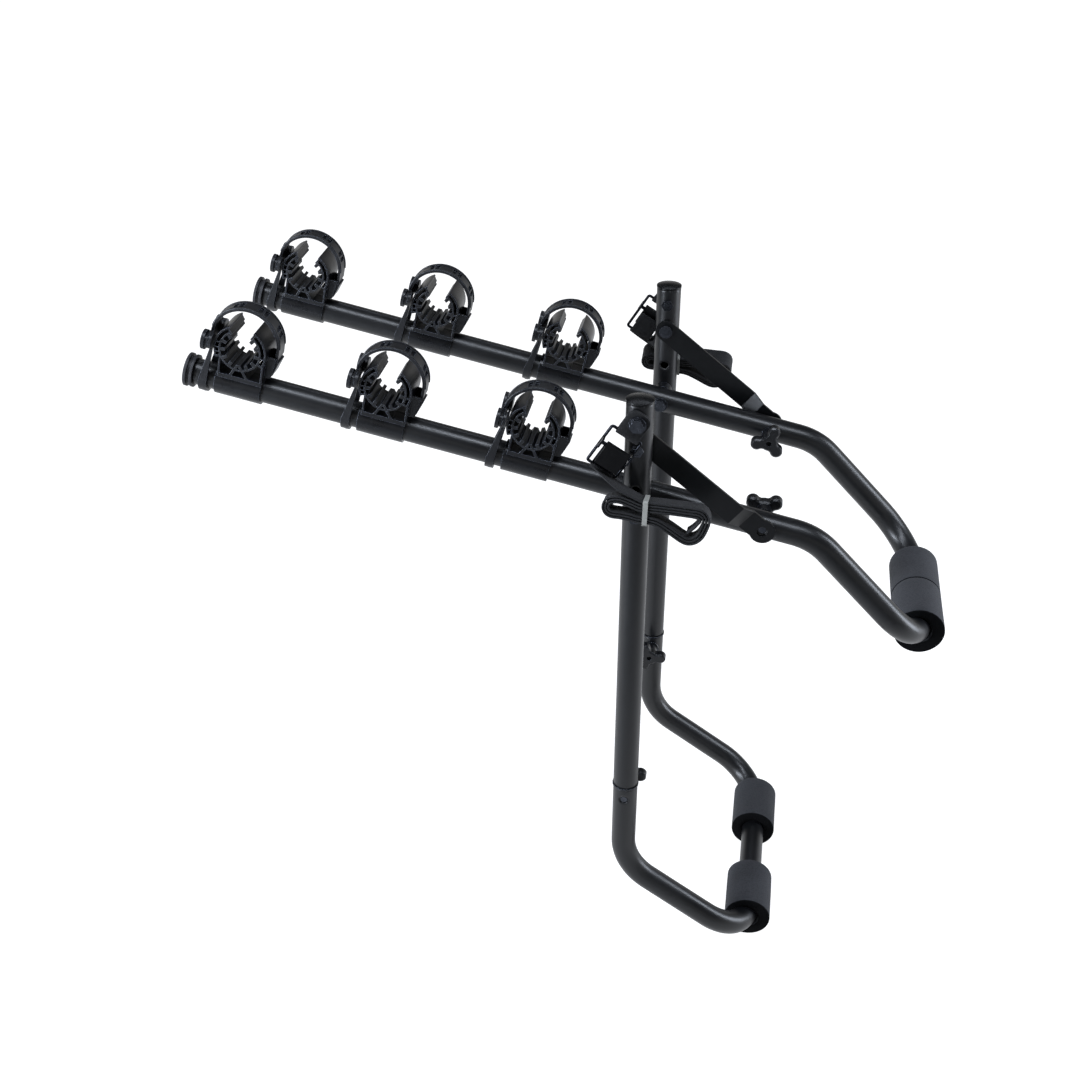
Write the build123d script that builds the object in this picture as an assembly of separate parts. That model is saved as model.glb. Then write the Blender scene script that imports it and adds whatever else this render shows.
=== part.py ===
from build123d import *
import math
import os

os.makedirs("parts", exist_ok=True)

# Bike carrier for a car boot: two carrying arms and an upper pad bar bent from
# one tube, hinged between two uprights that carry a lower pad bar, braced by
# two flat struts. Millimetres, +Z up, +X towards the car, arm tips to -X.
# The model is drawn about the arm pivot and moved at the end, so that the
# origin is the middle of the upper pad bar, where the carrier leans on the car.

# Tubes
TUBE_OD = 28.0
TUBE_WALL = 1.8
ARM_SPACING = 224.0        # centre to centre of the two arms
SIDE_GAP = 14.0            # free width between an arm and its upright
ARM_RISE = 12.0            # degrees, the arms climb towards their tips
ARM_TIP = 485.5            # pivot to the open end of an arm
ARM_BEND = 188.0           # pivot to the bend vertex on the car side
LEG_LENGTH = 180.0         # bend vertex to the pad bar axis
LEG_SLOPE = 46.0           # degrees below level
MID_BEND_R = 70.0
CORNER_R = 60.0
UPRIGHT_TOP = 124.0        # above the pivot
UPRIGHT_LENGTH = 483.0
LOWER_DROP = 120.0         # upright foot to the lower bend vertex
LOWER_LEG = 185.0          # lower bend vertex to the lower bar axis
LOWER_SLOPE = 34.2         # degrees below level
DIMPLE_DEPTH = 1.0
DIMPLE_R = 22.0

# Foam pads
PAD_OD = 56.0
UPPER_PAD_LENGTH = 69.0
UPPER_PAD_SHIFT = -6.0     # the pair sits a little to the near side
UPPER_PAD_SEAM = 0.5
LOWER_PAD_LENGTH = 73.0
LOWER_PAD_INNER = 44.0     # from the middle to the inner face of a lower pad
PAD_FIT = 0.15
PAD_EDGE = 1.5

# End plugs, caps, spigots and foot rings
PLUG_FLANGE_OD = 36.0
PLUG_FLANGE = 3.0
PLUG_NECK_OD = 30.0
PLUG_NECK = 4.0
PLUG_RIM_OD = 35.0
PLUG_RIM = 2.5
PLUG_SPIGOT = 22.0
PLUG_FIT = 0.1
CAP_RIM = 2.0
CAP_DOME = 2.0
CAP_SPIGOT = 10.0
CAP_OVERHANG = 0.4
RING_OD = 30.0
RING_THICK = 2.0
SPIGOT_LENGTH = 130.0
SPIGOT_WALL = 2.0
SPIGOT_FIT = 0.1

# Fasteners
BOLT_R = 4.0
BOLT_FIT = 0.05
SEAT_GAP = 0.3
HEAD_R = 7.5
HEAD_H = 4.0
NUT_R = 7.0
NUT_H = 3.4
BRACE_NUT_H = 2.9
WASHER_R = 9.0
WASHER_T = 1.2
SPACER_R = 10.0
BRACE_PIVOT_Z = 76.0
STRAP_BOLT_Z = 107.0
SPARE_HOLE_Z = 31.0
SPARE_HOLE_R = 4.5

# Braces
BRACE_T = 3.0
BRACE_W = 24.0
BRACE_EYE_R = 13.5
BRACE_EYE_HOLE_R = 5.5
BRACE_EYE_S = 132.0        # from the pivot, along the arm
JOGGLE_START = 130.0
JOGGLE_END = 144.0

# Lobed hand knobs
KNOB_REACH = 21.0
KNOB_LOBE_R = 7.0
KNOB_CORE_R = 10.0
KNOB_BLEND = 5.0
KNOB_THICK = 12.0
KNOB_EDGE = 2.0
KNOB_HUB_R = 8.0
KNOB_HUB = 11.5
KNOB_RECESS_R = 3.2
KNOB_RECESS = 5.0
STUD_FLANGE_R = 9.5
STUD_FLANGE = 2.5
STUD_HOLD = 8.0
LEG_KNOB_DROP = 14.0       # below the foot of the upright
WINDOW_R = 5.0             # hole in the outer wall round a stud's tip
ARM_KNOB_TURN = (30.0, 70.0)
LEG_KNOB_TURN = (0.0, 0.0)

# Frame cradles, at these distances from the pivot along the arms
CRADLE_AT = (436.0, 280.0, 123.0)
CRADLE_DEPTH = 40.0
SLEEVE_LENGTH = 50.0
SLEEVE_WALL = 2.5
SLIDE_FIT = 0.08
BORE_H = 46.0              # bore axis above the arm's axis
BORE_R = 16.0              # over the ridge tips
SHELL_R = 28.0
SHELL_T = 1.8
SHELL_TIP = 28.0           # degrees from the top to a jaw's tip
LINER_R = 22.6
LINER_T = 1.8
LINER_FIT = 0.3
RIDGES = 11
RIDGE_W = 3.4
RIDGE_STEP = 28.0          # degrees
WEB_T = 1.2
FLOOR_T = 2.3
WALL_T = 1.8
LEFT_WALL = 21.0
RIGHT_WALL = 26.5
WALL_ANGLE = 25.0
CHEVRON_T = 2.6
CHEVRON_LEFT = 8.0
CHEVRON_RIGHT = -11.0
STRAP_PIN_R = 1.3
STRAP_PIN_FIT = 0.08
STRAP_EYE_R = 3.0
EYE_PLATE_T = 2.0
EYE_PLATE_R = 3.5
CHEEK_RISE = 20.0          # the cheeks beside the strap's foot reach this far above its pin

# Rubber straps and yokes of the cradles
STRAP_CLEAR = 6.0          # between the shell and the strap
STRAP_T = 3.0
STRAP_W = 20.0
strap_rISE = 7.0           # centre of the strap's arc above the bore
STRAP_SHIFT = -1.5
STRAP_END = -4.0           # degrees, at the buttons
STRAP_FOOT = 9.0           # straight run below the arc on the car side
STRAP_FOOT_TURN = 18.0     # degrees, the run then leans inwards
STRAP_FOOT_RUN = 21.0
TAB_T = 2.6
TAB_RUN = 17.0
SLOT_W = 11.0
SLOT_L = 11.0
SLOT_BAR = 1.6
SLOT_FLOOR = 1.0
SLOT_AT = (70.0, 112.0, 152.0)
EAR_SPAN = 56.0
EAR_H = 14.0
YOKE_T = 3.2
YOKE_W = 9.0
YOKE_FOOT_OUT = 3.5        # foot beyond the end of the strap, along the arm
YOKE_FIT = 0.3
BUTTON_R = 10.5
BUTTON_T = 3.6
BUTTON_RISE = 4.0          # above the bore's axis
BUTTON_Y = 19.5
BUTTON_PIN_R = 4.0
BUTTON_PAD_R = 8.5
NUB_R = 3.5
NUB_T = 1.0

# Webbing, buckle and hank on the outer side of each upright
WEB_W = 25.0
WEB_THICK = 2.2
BUCKLE_LEAN = 238.3        # degrees, direction of the webbing from its bolt
ANCHOR_BACK = 11.5
ANCHOR_T = 4.6
ANCHOR_ROLL_R = 3.9
WIRE_R = 1.6
WIRE_FIT = 0.15
BUCKLE_W = 34.0
BUCKLE_SHIFT = -2.5
BUCKLE_NEAR = 15.0         # bolt to the first cross wire
BUCKLE_FAR = 61.5
BUCKLE_CORNER_R = 2.2
BUCKLE_OUT = 5.2           # wire's plane beyond the upright's outer face
LEVER_W = 25.5
LEVER_L = 25.0
LEVER_T = 3.0
LEVER_AT = 34.0            # bolt to the lever's pin
LEVER_OUT = 10.0           # pin beyond the upright's outer face
LEVER_PIN_R = 2.0
LEVER_PIN_FIT = 0.08
LEVER_BOSS_R = 4.2
ANCHOR_SHIFT = -1.2
ANCHOR_CORNER_R = 8.0
LEVER_SHIFT = -1.0
CHEEK_T = 2.0
CHEEK_W = 11.0
STRAP_WASHER_T = 2.3
LEAD_START = 37.0          # bolt to the hidden end of the webbing in the buckle
LEAD_SHIFT = -1.5
LEAD_OUT = 0.9             # webbing's lower face beyond the upright's outer face
LEAD_FIT = 0.5
LEAD_RUN = (               # the two edges below the buckle: along, across and out
    ((64.0, -13.8, 2.8), (64.0, -13.8, 7.6)),
    ((64.6, -2.0, 1.9), (63.6, -3.0, 13.0)),
    ((65.0, 11.0, 1.6), (63.0, 9.0, 20.0)),
    ((65.6, 25.0, 1.6), (61.9, 23.0, 25.3)),
    ((65.1, 38.0, 1.8), (60.1, 35.7, 26.3)),
)
HANK_PITCH = 2.9
HANK_TURNS = 3.27
HANK_STEPS = 56            # points a turn
CORE_FINE = 400
HANK_CORE = (              # clear shape inside the first turn
    (47.0, 0.5), (44.8, 3.0), (37.0, 3.4), (25.0, 4.0), (8.0, 4.5), (-1.0, 4.6), (-13.0, 4.8),
    (-22.0, 7.8), (-33.0, 11.0), (-39.3, 10.6), (-41.5, 8.5), (-39.5, 6.4), (-31.0, 6.0),
    (-22.0, 5.2), (-13.0, 3.5), (-1.0, 3.2), (9.0, 0.8), (21.2, -5.5), (34.0, -13.0),
    (39.0, -13.8), (43.0, -10.8), (45.6, -5.0),
)
HANK_TILT = 15.0           # degrees
HANK_TAIL = ((35.5, -12.5), (39.4, -9.4), (42.9, -5.9), (45.9, -2.2))   # free inner end
HANK_X = 20.0
HANK_Z = 11.0
HANK_OUT = 6.5             # inner edge beyond the upright's outer face
TIE_AT = -7.0
TIE_W = 5.0
TIE_T = 1.2
TIE_FIT = 0.45

# Sizes that follow from the ones above
R = TUBE_OD / 2
ARM_Y = ARM_SPACING / 2
UPRIGHT_Y = ARM_Y + TUBE_OD + SIDE_GAP
ARM_IN = ARM_Y - R
ARM_OUT = ARM_Y + R
UP_IN = UPRIGHT_Y - R
UP_OUT = UPRIGHT_Y + R
FOOT_Z = UPRIGHT_TOP - UPRIGHT_LENGTH
RISE = math.radians(ARM_RISE)
SLOPE = math.radians(LEG_SLOPE)
LOW = math.radians(LOWER_SLOPE)
BEND = (ARM_BEND * math.cos(RISE), -ARM_BEND * math.sin(RISE))
BAR = (BEND[0] + LEG_LENGTH * math.cos(SLOPE), BEND[1] - LEG_LENGTH * math.sin(SLOPE))
LOW_BEND_Z = FOOT_Z - RING_THICK - LOWER_DROP
LOW_BAR = (LOWER_LEG * math.cos(LOW), LOW_BEND_Z - LOWER_LEG * math.sin(LOW))
KNOB_Z = FOOT_Z - RING_THICK - LEG_KNOB_DROP
EYE = (BRACE_EYE_S * math.cos(RISE), -BRACE_EYE_S * math.sin(RISE))
TO_ORIGIN = Location((-BAR[0], 0, -BAR[1]))


def save(shape, node):
    """Write one sub-part, moved to the pad bar's frame."""
    parts = shape if isinstance(shape, list) else [shape]
    solids = [s for p in parts for s in p.solids()]
    moved = [s.moved(TO_ORIGIN) for s in solids]
    export_step(moved[0] if len(moved) == 1 else Compound(children=moved), f"parts/{node}.step")


def mirrored(shape):
    """The far side's copy of a near-side piece."""
    return mirror(shape, about=Plane.XZ)


def pair(shape):
    return [shape, mirrored(shape)]


def rod(x, z, y0, y1, r):
    """Round bar along Y between two values of y."""
    lo, hi = min(y0, y1), max(y0, y1)
    return Location((x, (lo + hi) / 2, z), (90, 0, 0)) * Cylinder(r, hi - lo)


def hexagon(x, z, y0, y1, r):
    lo, hi = min(y0, y1), max(y0, y1)
    face = Location((x, hi, z), (90, 0, 0)) * RegularPolygon(r, 6)
    return extrude(face, amount=hi - lo, dir=(0, -1, 0))


def tube(points, radii, r_out, r_in):
    """Bent tube along a path of straight runs and arcs."""
    path = FilletPolyline(*points, radius=radii)
    ring = Circle(r_out) - Circle(r_in) if r_in else Circle(r_out)
    return sweep(Plane(path @ 0, z_dir=path % 0) * ring, path=path)


def at_arm(s, side, w=0.0, dy=0.0):
    """Frame on an arm: local x to the tip, local y up and square to the arm, local z to +Y."""
    x = -s * math.cos(RISE) + w * math.sin(RISE)
    z = s * math.sin(RISE) + w * math.cos(RISE)
    plane = Plane(
        origin=(x, side * ARM_Y + dy, z),
        x_dir=(-math.cos(RISE), 0, math.sin(RISE)),
        z_dir=(0, 1, 0),
    )
    return plane


# Arm frame: both arms, the legs to the car and the upper pad bar in one tube
tip = (-ARM_TIP * math.cos(RISE), ARM_TIP * math.sin(RISE))
arm_path = [
    (tip[0], -ARM_Y, tip[1]),
    (BEND[0], -ARM_Y, BEND[1]),
    (BAR[0], -ARM_Y, BAR[1]),
    (BAR[0], ARM_Y, BAR[1]),
    (BEND[0], ARM_Y, BEND[1]),
    (tip[0], ARM_Y, tip[1]),
]
arm_radii = [MID_BEND_R, CORNER_R, CORNER_R, MID_BEND_R]
arm_frame = tube(arm_path, arm_radii, R, R - TUBE_WALL)
for side in (-1, 1):
    arm_frame -= rod(0, 0, side * (ARM_IN - 2), side * (ARM_OUT + 2), BOLT_R + BOLT_FIT)
    arm_frame -= rod(EYE[0], EYE[1], side * (ARM_IN - 2), side * (ARM_OUT + 2), BOLT_R + BOLT_FIT)
    arm_frame -= Location((0, side * (ARM_IN + DIMPLE_DEPTH - DIMPLE_R), 0)) * Sphere(DIMPLE_R)
save(arm_frame, "arm_frame")

# End plugs: a spigot in the tube, a rim round its mouth, a neck and a flange
plug_rz = [
    (0, ARM_TIP - PLUG_SPIGOT),
    (R - TUBE_WALL - PLUG_FIT, ARM_TIP - PLUG_SPIGOT),
    (R - TUBE_WALL - PLUG_FIT, ARM_TIP),
    (PLUG_RIM_OD / 2, ARM_TIP),
    (PLUG_RIM_OD / 2, ARM_TIP + PLUG_RIM),
    (PLUG_NECK_OD / 2, ARM_TIP + PLUG_RIM),
    (PLUG_NECK_OD / 2, ARM_TIP + PLUG_RIM + PLUG_NECK),
    (PLUG_FLANGE_OD / 2, ARM_TIP + PLUG_RIM + PLUG_NECK),
    (PLUG_FLANGE_OD / 2, ARM_TIP + PLUG_RIM + PLUG_NECK + PLUG_FLANGE),
    (0, ARM_TIP + PLUG_RIM + PLUG_NECK + PLUG_FLANGE),
]
plug_face = make_face(Plane.XZ * Polyline(*plug_rz, close=True))
plug = revolve(plug_face, axis=Axis.Z)
along_arm = Plane(origin=(0, -ARM_Y, 0), z_dir=(-math.cos(RISE), 0, math.sin(RISE)))
save(pair(along_arm * plug), "arm_plugs")


def pad(y0, y1, bar, frame_solid_path, radii):
    """Foam sleeve on a bar, hollowed by the bent tube that it sits on."""
    lo, hi = min(y0, y1), max(y0, y1)
    body = rod(bar[0], bar[1], lo, hi, PAD_OD / 2)
    body = chamfer(body.edges().filter_by(GeomType.CIRCLE), PAD_EDGE)
    return body - tube(frame_solid_path, radii, R + PAD_FIT, 0)


upper_pads = [
    pad(
        UPPER_PAD_SHIFT + side * UPPER_PAD_SEAM / 2,
        UPPER_PAD_SHIFT + side * (UPPER_PAD_SEAM / 2 + UPPER_PAD_LENGTH),
        BAR, arm_path[1:5], arm_radii[1:3],
    )
    for side in (-1, 1)
]
save(upper_pads, "upper_pads")

# Uprights
upright = Location((0, -UPRIGHT_Y, UPRIGHT_TOP - UPRIGHT_LENGTH / 2)) * (
    Cylinder(R, UPRIGHT_LENGTH) - Cylinder(R - TUBE_WALL, UPRIGHT_LENGTH)
)
for z, r in (
    (0, BOLT_R + BOLT_FIT),
    (BRACE_PIVOT_Z, BOLT_R + BOLT_FIT),
    (STRAP_BOLT_Z, BOLT_R + BOLT_FIT),
    (SPARE_HOLE_Z, SPARE_HOLE_R),
):
    upright -= rod(0, z, -UP_IN + 2, -UP_OUT - 2, r)
save(upright, "upright_near")
save(mirrored(upright), "upright_far")

# Glossy domed caps in the tops of the uprights
cap_r = R + CAP_OVERHANG
dome_r = (cap_r**2 + CAP_DOME**2) / (2 * CAP_DOME)
cap = Location((0, -UPRIGHT_Y, UPRIGHT_TOP + CAP_RIM / 2)) * Cylinder(cap_r, CAP_RIM)
dome = Location((0, -UPRIGHT_Y, UPRIGHT_TOP + CAP_RIM + CAP_DOME - dome_r)) * Sphere(dome_r)
dome &= Location((0, -UPRIGHT_Y, UPRIGHT_TOP + CAP_RIM + CAP_DOME / 2)) * Cylinder(cap_r, CAP_DOME)
cap += dome
cap += Location((0, -UPRIGHT_Y, UPRIGHT_TOP - CAP_SPIGOT / 2)) * Cylinder(R - TUBE_WALL - PLUG_FIT, CAP_SPIGOT)
save(pair(cap), "upright_caps")

# Lower frame: both lower legs and the lower pad bar in one tube
low_top = FOOT_Z - RING_THICK
low_path = [
    (0, -UPRIGHT_Y, low_top),
    (0, -UPRIGHT_Y, LOW_BEND_Z),
    (LOW_BAR[0], -UPRIGHT_Y, LOW_BAR[1]),
    (LOW_BAR[0], UPRIGHT_Y, LOW_BAR[1]),
    (0, UPRIGHT_Y, LOW_BEND_Z),
    (0, UPRIGHT_Y, low_top),
]
low_radii = [MID_BEND_R, CORNER_R, CORNER_R, MID_BEND_R]
lower_frame = tube(low_path, low_radii, R, R - TUBE_WALL)
for side in (-1, 1):
    lower_frame -= rod(0, KNOB_Z, side * (UP_IN - 2), side * UPRIGHT_Y, BOLT_R + BOLT_FIT)
    lower_frame -= rod(0, KNOB_Z, side * UPRIGHT_Y, side * (UP_OUT + 2), WINDOW_R)
save(lower_frame, "lower_frame")

lower_pads = [
    pad(side * LOWER_PAD_INNER, side * (LOWER_PAD_INNER + LOWER_PAD_LENGTH), LOW_BAR, low_path[1:5], low_radii[1:3])
    for side in (-1, 1)
]
save(lower_pads, "lower_pads")

# Spigots that join each lower leg to its upright, and the rings between them
spigot_r = R - TUBE_WALL - SPIGOT_FIT
spigot = Location((0, -UPRIGHT_Y, low_top)) * (
    Cylinder(spigot_r, SPIGOT_LENGTH) - Cylinder(spigot_r - SPIGOT_WALL, SPIGOT_LENGTH)
)
spigot -= rod(0, KNOB_Z, -UP_IN + 2, -UP_OUT - 2, BOLT_R + BOLT_FIT)
save(pair(spigot), "leg_spigots")
foot_ring = Location((0, -UPRIGHT_Y, FOOT_Z - RING_THICK / 2)) * (
    Cylinder(RING_OD / 2, RING_THICK) - Cylinder(spigot_r + SPIGOT_FIT, RING_THICK)
)
save(pair(foot_ring), "foot_rings")

# Pivot bolts of the arms, with spacers in the side gap and low nuts outside
head_y = ARM_IN - SEAT_GAP
pivot_bolt = rod(0, 0, -head_y, -(UP_OUT + SEAT_GAP + NUT_H), BOLT_R)
pivot_bolt += rod(0, 0, -head_y, -(head_y - WASHER_T), WASHER_R)
pivot_bolt += hexagon(0, 0, -(head_y - WASHER_T), -(head_y - WASHER_T - HEAD_H), HEAD_R)
save(pair(pivot_bolt), "pivot_bolts")
spacer = rod(0, 0, -(ARM_OUT + SEAT_GAP), -(UP_IN - SEAT_GAP), SPACER_R)
spacer -= rod(0, 0, -ARM_OUT + 1, -UP_IN - 1, BOLT_R + BOLT_FIT)
save(pair(spacer), "pivot_spacers")


def nut(x, z, face_y, height):
    """Low nut on the outer side, from face_y outwards."""
    body = hexagon(x, z, -face_y, -(face_y + height), NUT_R)
    return body - rod(x, z, -face_y + 1, -(face_y + height + 1), BOLT_R + BOLT_FIT)


outer_seat = UP_OUT + SEAT_GAP
nuts = pair(nut(0, 0, outer_seat, NUT_H)) + pair(nut(0, BRACE_PIVOT_Z, outer_seat, BRACE_NUT_H))

# Bolts of the braces: head inside the side gap, over the brace
brace_in = UP_IN - SEAT_GAP
brace_head = brace_in - BRACE_T - SEAT_GAP
brace_bolt = rod(0, BRACE_PIVOT_Z, -brace_head, -(outer_seat + BRACE_NUT_H), BOLT_R)
brace_bolt += rod(0, BRACE_PIVOT_Z, -brace_head, -(brace_head - HEAD_H), HEAD_R)
save(pair(brace_bolt), "brace_bolts")

# Braces: flat steel, pivoted inside each upright, stepped to lie on the arm
brace_dx = EYE[0]
brace_dz = EYE[1] - BRACE_PIVOT_Z
brace_len = math.hypot(brace_dx, brace_dz)
brace_low = ARM_OUT + SEAT_GAP
brace_plane = Plane(
    origin=(0, 0, BRACE_PIVOT_Z),
    x_dir=(brace_dx / brace_len, 0, brace_dz / brace_len),
    z_dir=(-brace_dz / brace_len, 0, brace_dx / brace_len),
)
# In this plane local x runs along the brace and local y is +Y or -Y
y_sign = 1 if brace_plane.y_dir.Y > 0 else -1
outline = [
    (-BRACE_W, brace_in), (JOGGLE_START, brace_in), (JOGGLE_END, brace_low + BRACE_T),
    (brace_len + BRACE_W, brace_low + BRACE_T), (brace_len + BRACE_W, brace_low),
    (JOGGLE_END - 1.2, brace_low), (JOGGLE_START - 1.2, brace_in - BRACE_T), (-BRACE_W, brace_in - BRACE_T),
]
side_face = make_face(Polyline(*[(x, -y * y_sign) for x, y in outline], close=True))
brace = extrude(brace_plane * side_face, amount=BRACE_W, both=True)
flat = Plane(origin=(0, 0, BRACE_PIVOT_Z), x_dir=brace_plane.x_dir, z_dir=(0, -1, 0))
shape_2d = Circle(BRACE_W / 2) + Pos(brace_len, 0) * Circle(BRACE_EYE_R)
shape_2d += Pos(brace_len / 2, 0) * Rectangle(brace_len, BRACE_W)
shape_2d -= Circle(BOLT_R + BOLT_FIT)
shape_2d -= Pos(brace_len, 0) * Circle(BRACE_EYE_HOLE_R)
brace &= extrude(flat * shape_2d, amount=UP_OUT)
save(brace, "brace_near")
save(mirrored(brace), "brace_far")

# Lobed knobs and their studs


def knob(x, z, inner_face, turn):
    """Near-side knob head and hub: they reach from a tube's inner face to +Y."""
    top = -inner_face + SEAT_GAP + STUD_FLANGE
    face = Circle(KNOB_CORE_R)
    for k in range(3):
        a = math.radians(turn + 120 * k)
        reach = KNOB_REACH - KNOB_LOBE_R
        face += Pos(reach * math.cos(a), reach * math.sin(a)) * Circle(KNOB_LOBE_R)
    face = fillet(face.vertices(), KNOB_BLEND)
    base = Plane(origin=(x, top + KNOB_HUB + KNOB_THICK, z), x_dir=(1, 0, 0), z_dir=(0, -1, 0))
    head = extrude(base * face, amount=KNOB_THICK)
    head = chamfer(head.edges().filter_by(Plane.XZ), KNOB_EDGE)
    head += rod(x, z, top, top + KNOB_HUB + 1, KNOB_HUB_R)
    head -= rod(x, z, top + KNOB_HUB + KNOB_THICK - KNOB_RECESS, top + KNOB_HUB + KNOB_THICK + 1, KNOB_RECESS_R)
    return head - rod(x, z, top - 1, top + STUD_HOLD, BOLT_R)


def stud(x, z, inner_face, end_y):
    flange = -inner_face + SEAT_GAP
    body = rod(x, z, -end_y, flange + STUD_FLANGE + STUD_HOLD, BOLT_R)
    return body + rod(x, z, flange, flange + STUD_FLANGE, STUD_FLANGE_R)


for name, x, z, face_y, end_y, turns in (
    ("arm", EYE[0], EYE[1], ARM_IN, ARM_OUT, ARM_KNOB_TURN),
    ("leg", 0, KNOB_Z, UP_IN, UP_OUT - 1, LEG_KNOB_TURN),
):
    save(knob(x, z, face_y, turns[0]), f"{name}_knob_near")
    save(mirrored(knob(x, z, face_y, turns[1])), f"{name}_knob_far")
    save(stud(x, z, face_y, end_y), f"{name}_stud_near")
    save(mirrored(stud(x, z, face_y, end_y)), f"{name}_stud_far")


# Cradles, drawn in their own frame: x to the arm's tip, y square to the arm, z across
def sector(r_out, r_in, a0, a1):
    """Ring sector about the origin between two angles in degrees."""
    n = max(2, int(abs(a1 - a0) / 60) + 1)
    reach = 1.5 * r_out
    fan = [(0, 0)]
    for k in range(n + 1):
        a = math.radians(a0 + (a1 - a0) * k / n)
        fan.append((reach * math.cos(a), reach * math.sin(a)))
    return (Circle(r_out) - Circle(r_in)) & make_face(Polyline(*fan, close=True))


def strip(x0, y0, x1, y1, t):
    """Straight rib of thickness t between two points."""
    length = math.hypot(x1 - x0, y1 - y0)
    turn = math.degrees(math.atan2(y1 - y0, x1 - x0))
    return Location(((x0 + x1) / 2, (y0 + y1) / 2, 0), (0, 0, turn)) * Rectangle(length, t)


def spoke(angle, r0, r1, t):
    """Rib along a radius of the bore, in the cradle's frame."""
    a = math.radians(angle)
    return strip(r0 * math.cos(a), BORE_H + r0 * math.sin(a), r1 * math.cos(a), BORE_H + r1 * math.sin(a), t)


strap_r = SHELL_R + STRAP_CLEAR + STRAP_T / 2
button_h = BORE_H + BUTTON_RISE
strap_c = (STRAP_SHIFT, BORE_H + strap_rISE)
strap_side = (strap_c[0] - strap_r, strap_c[1])
strap_knee = (strap_side[0], strap_side[1] - STRAP_FOOT)
lean = math.radians(STRAP_FOOT_TURN)
strap_foot = (
    strap_knee[0] + STRAP_FOOT_RUN * math.sin(lean),
    strap_knee[1] - STRAP_FOOT_RUN * math.cos(lean),
)
bore_in = R + SLIDE_FIT
floor_top = bore_in + FLOOR_T
gap_r = LINER_R + LINER_FIT
shell_in = SHELL_R - SHELL_T
tip_angle = 90 - SHELL_TIP
tip_web = math.degrees(SHELL_T / SHELL_R)
wall_r = (gap_r + SHELL_R) / 2
wall_top = BORE_H - wall_r * math.sin(math.radians(WALL_ANGLE))

shell_face = Pos(0, BORE_H) * sector(SHELL_R, shell_in, -WALL_ANGLE, tip_angle)
shell_face += Pos(0, BORE_H) * sector(SHELL_R, shell_in, 180 - tip_angle, 180 + WALL_ANGLE)
for angle in (-WALL_ANGLE, 180 + WALL_ANGLE):
    shell_face += spoke(angle, gap_r, SHELL_R - 0.1, SHELL_T)
for angle in (12, -2, -14, 185):
    shell_face += spoke(angle, gap_r, SHELL_R - 1, WEB_T)
shell_face += strip(LEFT_WALL - WALL_T / 2, floor_top - 1, LEFT_WALL - WALL_T / 2, wall_top, WALL_T)
shell_face += strip(-RIGHT_WALL + WALL_T / 2, floor_top - 1, -RIGHT_WALL + WALL_T / 2, wall_top - 1, WALL_T)
chevron_top = BORE_H - BORE_R + 1
ribs = strip(CHEVRON_LEFT, floor_top - 1, 0, chevron_top, CHEVRON_T)
ribs += strip(CHEVRON_RIGHT, floor_top - 1, 0, chevron_top, CHEVRON_T)
shell_face += ribs
shell_face -= Pos(0, BORE_H) * Circle(gap_r)
for angle in (tip_angle - tip_web, 180 - tip_angle + tip_web):
    shell_face += spoke(angle, LINER_R - LINER_T - 1, SHELL_R - 0.1, SHELL_T)
floor_w = LEFT_WALL + RIGHT_WALL
floor_face = Pos((LEFT_WALL - RIGHT_WALL) / 2, floor_top - FLOOR_T) * Rectangle(floor_w, 2 * FLOOR_T)
half = CRADLE_DEPTH / 2
cradle = extrude(shell_face + floor_face, amount=half, both=True)
cradle += Location((0, 0, 0), (0, 90, 0)) * Cylinder(bore_in + SLEEVE_WALL, SLEEVE_LENGTH)
cheek_top = strap_foot[1] + CHEEK_RISE
cheek_out = strap_foot[0] - CHEEK_RISE * math.tan(lean)
cheek_face = make_face(Polyline(
    (-RIGHT_WALL + 1, strap_foot[1] - EYE_PLATE_R), (strap_foot[0], strap_foot[1] - EYE_PLATE_R),
    (strap_foot[0] - EYE_PLATE_R, strap_foot[1]), (cheek_out, cheek_top),
    (-RIGHT_WALL + 1, cheek_top), close=True,
))
cheek_face += Pos(*strap_foot) * Circle(EYE_PLATE_R)
cheek_face -= Pos(0, BORE_H) * Circle(shell_in)
for side in (-1, 1):
    plate_y = side * (STRAP_W / 2 + SEAT_GAP + EYE_PLATE_T / 2)
    cradle += Pos(0, 0, plate_y) * extrude(cheek_face, amount=EYE_PLATE_T / 2, both=True)
cradle += Pos(*strap_foot, 0) * Cylinder(STRAP_PIN_R, STRAP_W + 2 * SEAT_GAP + EYE_PLATE_T)
cradle -= Location((0, 0, 0), (0, 90, 0)) * Cylinder(bore_in, 2 * SLEEVE_LENGTH)

# Ribbed rubber liner of the bore, its lowest rib a hollow chevron
liner_end = tip_angle - 2 * tip_web
liner_face = Pos(0, BORE_H) * sector(LINER_R, LINER_R - LINER_T, -180 - liner_end, liner_end)
for k in range(RIDGES):
    step = k - (RIDGES - 1) / 2
    if step:
        liner_face += spoke(-90 + RIDGE_STEP * step, BORE_R - 1, LINER_R - LINER_T / 2, RIDGE_W)
band = Pos(0, BORE_H) * Circle(LINER_R)
liner_face += (ribs & band)
liner_face -= Pos(0, BORE_H) * Circle(BORE_R)
liner = extrude(liner_face, amount=half, both=True)

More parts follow.
